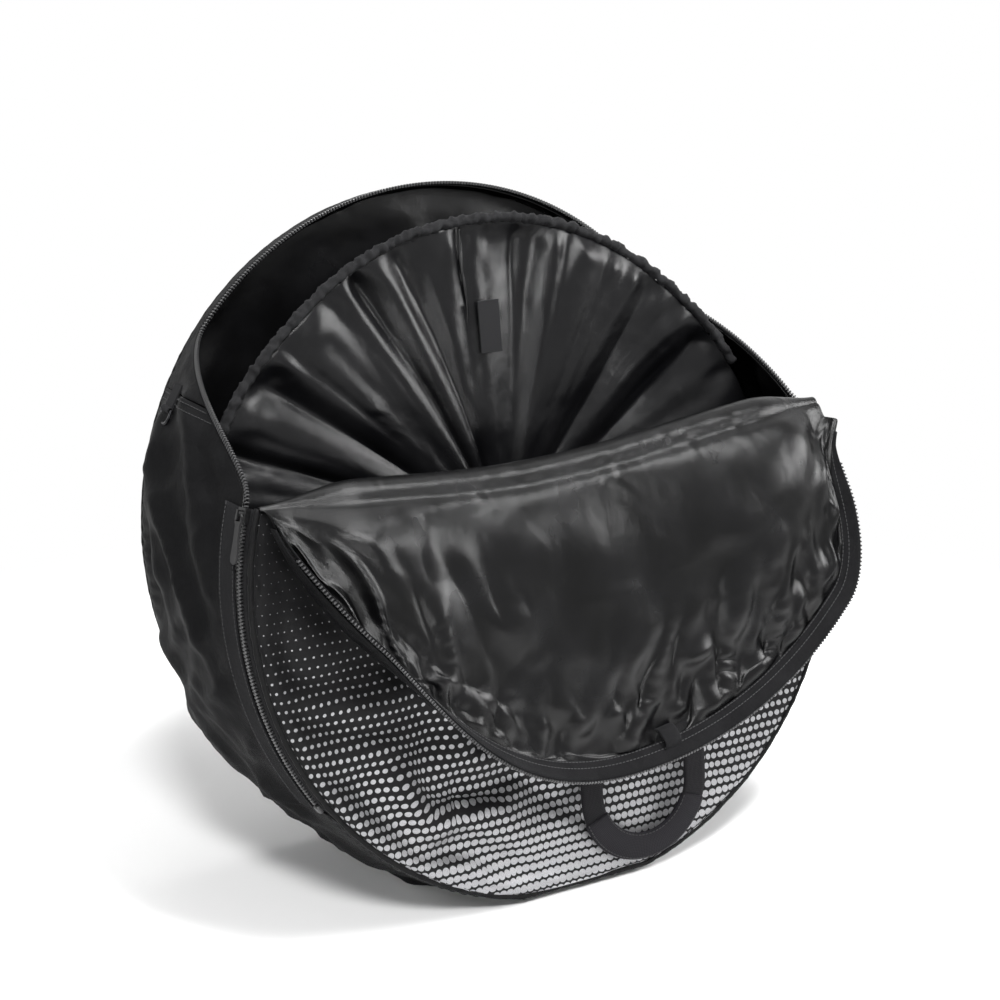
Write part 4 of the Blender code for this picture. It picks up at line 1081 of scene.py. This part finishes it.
def hardware():
    """Sliders, pullers and ring loops with soft edges, and the D-rings in steel."""
    for label in ("left", "right"):
        slider = polish("slider_body_" + label, "slider_" + label, MATERIALS["zinc"], "slider_" + label)
        tab = polish("tab_" + label, "pull_tab_" + label, MATERIALS["rubber"], "pull_tab_" + label)
        loop = polish("ring_web_" + label, "ring_loop_" + label, MATERIALS["facing"], "bag")
        ring = bpy.data.objects["ring_" + label]
        ring.data.materials.clear()
        ring.data.materials.append(MATERIALS["steel"])


# Divider

def divider_edge(a):
    """Radius of the divider's free upper edge."""
    share = 1 - np.abs(a - pi / 2) / (DIVIDER_FREE - pi / 2)
    held = RIM - 0.006
    return held + (DIVIDER_TOP - held) * smooth(2 * share)


def divider(size):
    """Satin sheet between the wheels: broad pleats run from its middle to the gathered hem."""
    m, n = 360, 52
    a = np.linspace(0, TAU, m + 1)[:-1]
    upper = divider_edge(np.where(a > pi * 1.25, a - TAU, a))
    held = RIM + 0.0105 - SIDE_THICK
    low = (a > radians(168)) & (a < radians(372)) | (a < radians(12))
    bound = np.where(low, held, upper)
    t = np.linspace(0.03, 1, n)[:, None]
    angle = np.repeat(a[None, :], n, 0)
    cx, cy = np.cos(angle), np.sin(angle)
    u = bound[None, :] * t * cx
    v = np.maximum(bound[None, :] * t * cy, (SIDE_THICK - BASE_DROP) * t)
    # Broad pleats with narrow ones between them, and 47 small gathers round the hem
    broad = ridge(cx * 2.6 + 0.25 * t, cy * 2.6, 1.0) - 0.4
    broad += 0.6 * fbm(cx * 1.7 - 0.3 * t, cy * 1.7, 9.0, 1)
    narrow = (ridge(cx * 6.5, cy * 6.5 + 0.5 * t, 5.0) - 0.35) * smooth((t - 0.35) / 0.5) * 0.35
    gathers = 0.13 * np.sin(angle * 47 + 4 * fbm(cx * 3, cy * 3, 4.0)) * smooth((t - 0.86) / 0.1)
    # They are deepest above and lie flat at the edge
    high = 0.3 + 0.7 * smooth((cy + 0.2) / 0.6)
    w = DIVIDER_W + size.pleat * (broad + narrow + gathers) * t * high * smooth((1.02 - t) / 0.08)
    drift, welt = 0.010, 0.005
    w += drift * fbm(u * 5, v * 4, 2.0, 2) * smooth((1 - t) / 0.3)
    w += welt * (np.exp(-((u - SLIT_U) / 0.010) ** 2) * smooth((v - 0.13) / 0.04))
    half = 0.0006
    front = place(u, w - half, v)
    back = place(u, w + half, v)
    uv = np.zeros((n, m + 1, 2))
    uv[..., 0] = np.concatenate([a, [TAU]])[None, :] * 0.3
    uv[..., 1] = t * 0.33
    obj = shell("divider_cloth", front, back, uv, [MATERIALS["divider"]], wrap=True)
    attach(obj, "bag")
    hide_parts("divider")
    short, sewn_on = radians(10), 0.0042
    q = np.linspace(pi - DIVIDER_FREE + short, DIVIDER_FREE - short, 340)
    hem = divider_edge(q) + sewn_on
    cord = tube("divider_elastic", place(hem * np.cos(q), DIVIDER_W, hem * np.sin(q)), HEM_R,
                MATERIALS["elastic"], ruche=0.6, ring=14, pitch=0.007)
    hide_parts("divider_hem")
    tab = polish("divider_patch", "divider_tab", MATERIALS["hook"], "bag")
    # The patch lies in front of the pleats
    forward = 0.006
    tab.location = (0, -forward, 0)
    q = np.linspace(0.165, 0.315, 40)
    path = place(SLIT_U + 0.002 * np.sin(q * 60), DIVIDER_W + 0.001, q)
    tube("divider_slit", path, 0.0016, MATERIALS["divider"], ruche=0.4, ring=8)


# Handles

def handle(label, body, shift, pivot, start, slope, lift, size):
    """Webbing loop with a padded sleeve round its bow; start, slope and lift set its depth."""
    bow, half = HANDLE_SPAN / 2, HANDLE_WIDTH / 2
    bow_v = pivot - HANDLE_DROP + bow + half
    rows, turns, e = 26, 46, 0.001

    def at(u, v):
        fall = pivot - v
        return place(u, start + fall * slope + lift * float(smooth((fall - 0.12) / 0.12)), v)

    centre, over = [], []
    for q in np.linspace(pivot, bow_v, rows):
        centre.append(at(shift - bow, q))
        over.append((at(shift - bow - e, q) - at(shift - bow + e, q)) / (2 * e))
    for q in np.linspace(pi, TAU, turns)[1:-1]:
        u, v = shift + bow * cos(q), bow_v + bow * sin(q)
        centre.append(at(u, v))
        over.append(unit(at(u + e * cos(q), v + e * sin(q)) - at(u - e * cos(q), v - e * sin(q))))
    for q in np.linspace(bow_v, pivot, rows):
        centre.append(at(shift + bow, q))
        over.append((at(shift + bow + e, q) - at(shift + bow - e, q)) / (2 * e))
    centre, over = np.array(centre), np.array(over)
    normal = np.array([0, 1.0, 0]) if label == "rear" else np.array([0, -cos(LEAN), sin(LEAN)])
    off = np.repeat(normal[None], len(centre), 0)
    web = ribbon(label + "_webbing", centre, over, off, HANDLE_WIDTH, WEB_THICK, [MATERIALS["webbing"]], body)
    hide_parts(label + "_handle")
    keep = slice(rows + 4, rows + 40)
    wider, pad_thick, crown = 0.004, 0.0052, 0.0012
    sleeve = ribbon(label + "_pad", centre[keep], over[keep], off[keep], HANDLE_WIDTH + wider, pad_thick,
                    [MATERIALS["grip"]], body, 1, crown)
    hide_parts(label + "_grip")
    from_edge, above, below = 0.0005, 0.0031, 0.0029
    paths = []
    for side in (-1, 1):
        edge = centre[keep] + over[keep] * side * (half - from_edge)
        paths.append([(p + n * above, n) for p, n in zip(edge, off[keep])])
        paths.append([(p - n * below, -n) for p, n in zip(edge, off[keep])])
    stitches(label + "_pad_thread", paths, MATERIALS["thread"], body, size.stitch)
    holder = "flap" if label == "front" else "bag"
    for name in ("left", "right"):
        patch = polish(label + "_stay_" + name, label + "_patch_" + name, MATERIALS["webbing"], holder)


def handles(size):
    """The front handle hangs between the flap and the panel, the rear one down the rear panel."""
    half_web, aside, room, settles = 0.001, 0.070, 0.0025, -0.0025
    start = FLAP_W + CLEAR + PATCH_THICK + CLEAR + half_web
    slope = -(start + room + 2 * CLEAR) / HANDLE_DROP
    handle("front", "front_handle", aside, 2 * FOLD - HANDLE_PIVOT, start, slope, settles, size)
    start = DEPTH + CLEAR + PATCH_THICK + CLEAR + half_web
    handle("rear", "rear_handle", 0.0, HANDLE_PIVOT, start, sin(LEAN), 0.0, size)


# Stage

def seen_directly(tree):
    """1 for what the eye, a mirror or a glass sees of the background, 0 for the light that it gives."""
    path = node(tree, "LightPath").outputs
    seen = node(tree, "Math", {0: path["Is Camera Ray"], 1: path["Is Glossy Ray"]}, 0, operation="MAXIMUM")
    return node(tree, "Math", {0: seen, 1: path["Is Transmission Ray"]}, 0, operation="MAXIMUM")


def floor_material():
    """Matt white floor that fades to the plain white background away from the bag."""
    made, tree, shader = start_material("Pale_Floor", {"Base Color": srgb("f6f6f6"), "Roughness": 0.9})
    where = node(tree, "TexCoord").outputs["Object"]
    away = node(tree, "VectorMath", {0: where}, "Value", operation="LENGTH")
    fade = {0: away, 1: FADE_START, 2: FADE_END}
    far = node(tree, "MapRange", fade, 0, interpolation_type="SMOOTHSTEP")
    share = node(tree, "Math", {0: seen_directly(tree), 1: far}, 0, operation="MULTIPLY")
    white = node(tree, "Emission", {"Color": WHITE, "Strength": 1.0}, 0)
    both = node(tree, "MixShader", {0: share, 1: shader.outputs[0], 2: white}, 0)
    tree.links.new(both, tree.nodes["Material Output"].inputs[0])
    return made


def stage(size):
    """Floor, white world, lamps and camera."""
    scene = bpy.context.scene
    scene.view_settings.view_transform = "Standard"
    world = scene.world or bpy.data.worlds.new("World")
    scene.world = world
    world.use_nodes = True
    tree = world.node_tree
    where = node(tree, "TexCoord").outputs["Generated"]
    split = node(tree, "SeparateXYZ", {0: where})
    # Weak as a light, brighter from above, and plain white where it is seen
    glow = node(tree, "MapRange", {0: split.outputs[2], 1: 0.0, 2: 1.0, 3: 0.10, 4: 0.24}, 0)
    strength = node(tree, "Math", {0: glow, 1: seen_directly(tree)}, 0, operation="MAXIMUM")
    back = tree.nodes["Background"]
    back.inputs[0].default_value = WHITE
    tree.links.new(strength, back.inputs[1])
    reach = size.floor_reach
    corners = [(-reach, -reach), (reach, -reach), (reach, reach), (-reach, reach)]
    floor = grow("floor", [(x, y, FLOOR_Z) for x, y in corners], [(0, 1, 2, 3)])
    floor.data.materials.append(floor_material())
    for name, spot, power, width in LAMPS:
        light = bpy.data.lights.new(name, "AREA")
        light.energy = power
        light.size = width
        lamp = bpy.data.objects.new(name, light)
        lamp.location = spot
        lamp.rotation_euler = (AIM - Vector(spot)).to_track_quat("-Z", "Y").to_euler()
        bpy.context.collection.objects.link(lamp)
    camera = bpy.data.cameras.new("Camera")
    camera.lens = LENS
    camera.sensor_width = SENSOR
    view = bpy.data.objects.new("Camera", camera)
    forward = Vector((sin(YAW) * cos(PITCH), cos(YAW) * cos(PITCH), sin(PITCH)))
    view.location = CAMERA_AT
    view.rotation_euler = forward.to_track_quat("-Z", "Y").to_euler()
    bpy.context.collection.objects.link(view)
    scene.camera = view


# The add-on's settings, operators and panel

def metres(name, description, default, least, most):
    """A setting in metres."""
    return bpy.props.FloatProperty(
        name=name, description=description, default=default, min=least, max=most, unit="LENGTH")


class BagSettings(bpy.types.PropertyGroup):
    """Sizes that a user may change before building the looks."""
    thread: metres(
        "Thread spacing", "Spacing of the cloth's threads, drawn coarser than real so that it shows",
        0.0009, 0.0003, 0.003)
    dot_pitch: metres("Dot pitch", "Spacing of the printed dots along a row", 0.0076, 0.003, 0.03)
    dot_row: metres("Dot rows", "Spacing of the rows of printed dots", 0.0093, 0.003, 0.03)
    billow: metres("Billow", "How far the hanging flap's satin swells forwards", 0.025, 0.0, 0.03)
    wave: metres("Panel waves", "Depth of the soft waves in the printed panel", 0.0085, 0.0, 0.009)
    fold: metres("Gusset folds", "Depth of the folds in the gusset", 0.009, 0.0, 0.015)
    pleat: metres("Divider pleats", "Depth of the pleats that run to the divider's middle", 0.019, 0.0, 0.025)
    tooth: metres(
        "Tooth spacing", "Spacing of the zip's teeth along a tape, drawn coarser than real so that it shows",
        0.0034, 0.002, 0.01)
    stitch: metres("Stitch length", "Length of one stitch and its gap", 0.0042, 0.002, 0.01)
    floor_reach: metres("Floor reach", "How far the floor reaches from the bag's middle", 8.0, 2.0, 20.0)


class BAG_OT_materials(bpy.types.Operator):
    """Make the cloths, webbings, metals and plastics"""
    bl_idname = "bag.materials"
    bl_label = "Materials"

    def execute(self, context):
        make_materials(context.scene.bag)
        return {"FINISHED"}


class BAG_OT_panels(bpy.types.Operator):
    """Build the printed lower panel and the rear panel"""
    bl_idname = "bag.panels"
    bl_label = "Panels"

    def execute(self, context):
        lower_panel(context.scene.bag)
        rear_panel()
        return {"FINISHED"}


class BAG_OT_flap(bpy.types.Operator):
    """Build the folded flap with its band, tape, teeth and small loop"""
    bl_idname = "bag.flap"
    bl_label = "Flap"

    def execute(self, context):
        flap_shell(context.scene.bag)
        flap_band(context.scene.bag)
        flap_tag()
        return {"FINISHED"}


class BAG_OT_gusset(bpy.types.Operator):
    """Build the gusset and the pipings"""
    bl_idname = "bag.gusset"
    bl_label = "Gusset"

    def execute(self, context):
        gusset(context.scene.bag)
        return {"FINISHED"}


class BAG_OT_zip(bpy.types.Operator):
    """Build the zip's tapes, teeth, stops and facings"""
    bl_idname = "bag.zip"
    bl_label = "Zip"

    def execute(self, context):
        zip_parts(context.scene.bag)
        return {"FINISHED"}


class BAG_OT_hardware(bpy.types.Operator):
    """Build the sliders, pull tabs, ring loops and D-rings"""
    bl_idname = "bag.hardware"
    bl_label = "Sliders and rings"

    def execute(self, context):
        hardware()
        return {"FINISHED"}


class BAG_OT_divider(bpy.types.Operator):
    """Build the divider, its elastic hem, its pad and its slit"""
    bl_idname = "bag.divider"
    bl_label = "Divider"

    def execute(self, context):
        divider(context.scene.bag)
        return {"FINISHED"}


class BAG_OT_handles(bpy.types.Operator):
    """Build both handles and the patches that hold them"""
    bl_idname = "bag.handles"
    bl_label = "Handles"

    def execute(self, context):
        handles(context.scene.bag)
        return {"FINISHED"}


class BAG_OT_stage(bpy.types.Operator):
    """Set the floor, the light and the camera"""
    bl_idname = "bag.stage"
    bl_label = "Stage"

    def execute(self, context):
        stage(context.scene.bag)
        return {"FINISHED"}


OPERATORS = (BAG_OT_materials, BAG_OT_panels, BAG_OT_flap, BAG_OT_gusset, BAG_OT_zip,
             BAG_OT_hardware, BAG_OT_divider, BAG_OT_handles, BAG_OT_stage)


class BAG_PT_panel(bpy.types.Panel):
    """Settings and build buttons"""
    bl_idname = "BAG_PT_panel"
    bl_label = "Wheel Bag"
    bl_space_type = "VIEW_3D"
    bl_region_type = "UI"
    bl_category = "Wheel Bag"

    def draw(self, context):
        for name in BagSettings.__annotations__:
            self.layout.prop(context.scene.bag, name)
        for operator in OPERATORS:
            self.layout.operator(operator.bl_idname)


CLASSES = (BagSettings, *OPERATORS, BAG_PT_panel)


def register():
    for item in CLASSES:
        bpy.utils.register_class(item)
    bpy.types.Scene.bag = bpy.props.PointerProperty(type=BagSettings)


def unregister():
    del bpy.types.Scene.bag
    for item in reversed(CLASSES):
        bpy.utils.unregister_class(item)


def main():
    """Builds the looks in order."""
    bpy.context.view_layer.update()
    register()
    bpy.ops.bag.materials()
    bpy.ops.bag.panels()
    bpy.ops.bag.flap()
    bpy.ops.bag.gusset()
    bpy.ops.bag.zip()
    bpy.ops.bag.hardware()
    bpy.ops.bag.divider()
    bpy.ops.bag.handles()
    bpy.ops.bag.stage()
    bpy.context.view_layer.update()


if __name__ == "__main__":
    main()
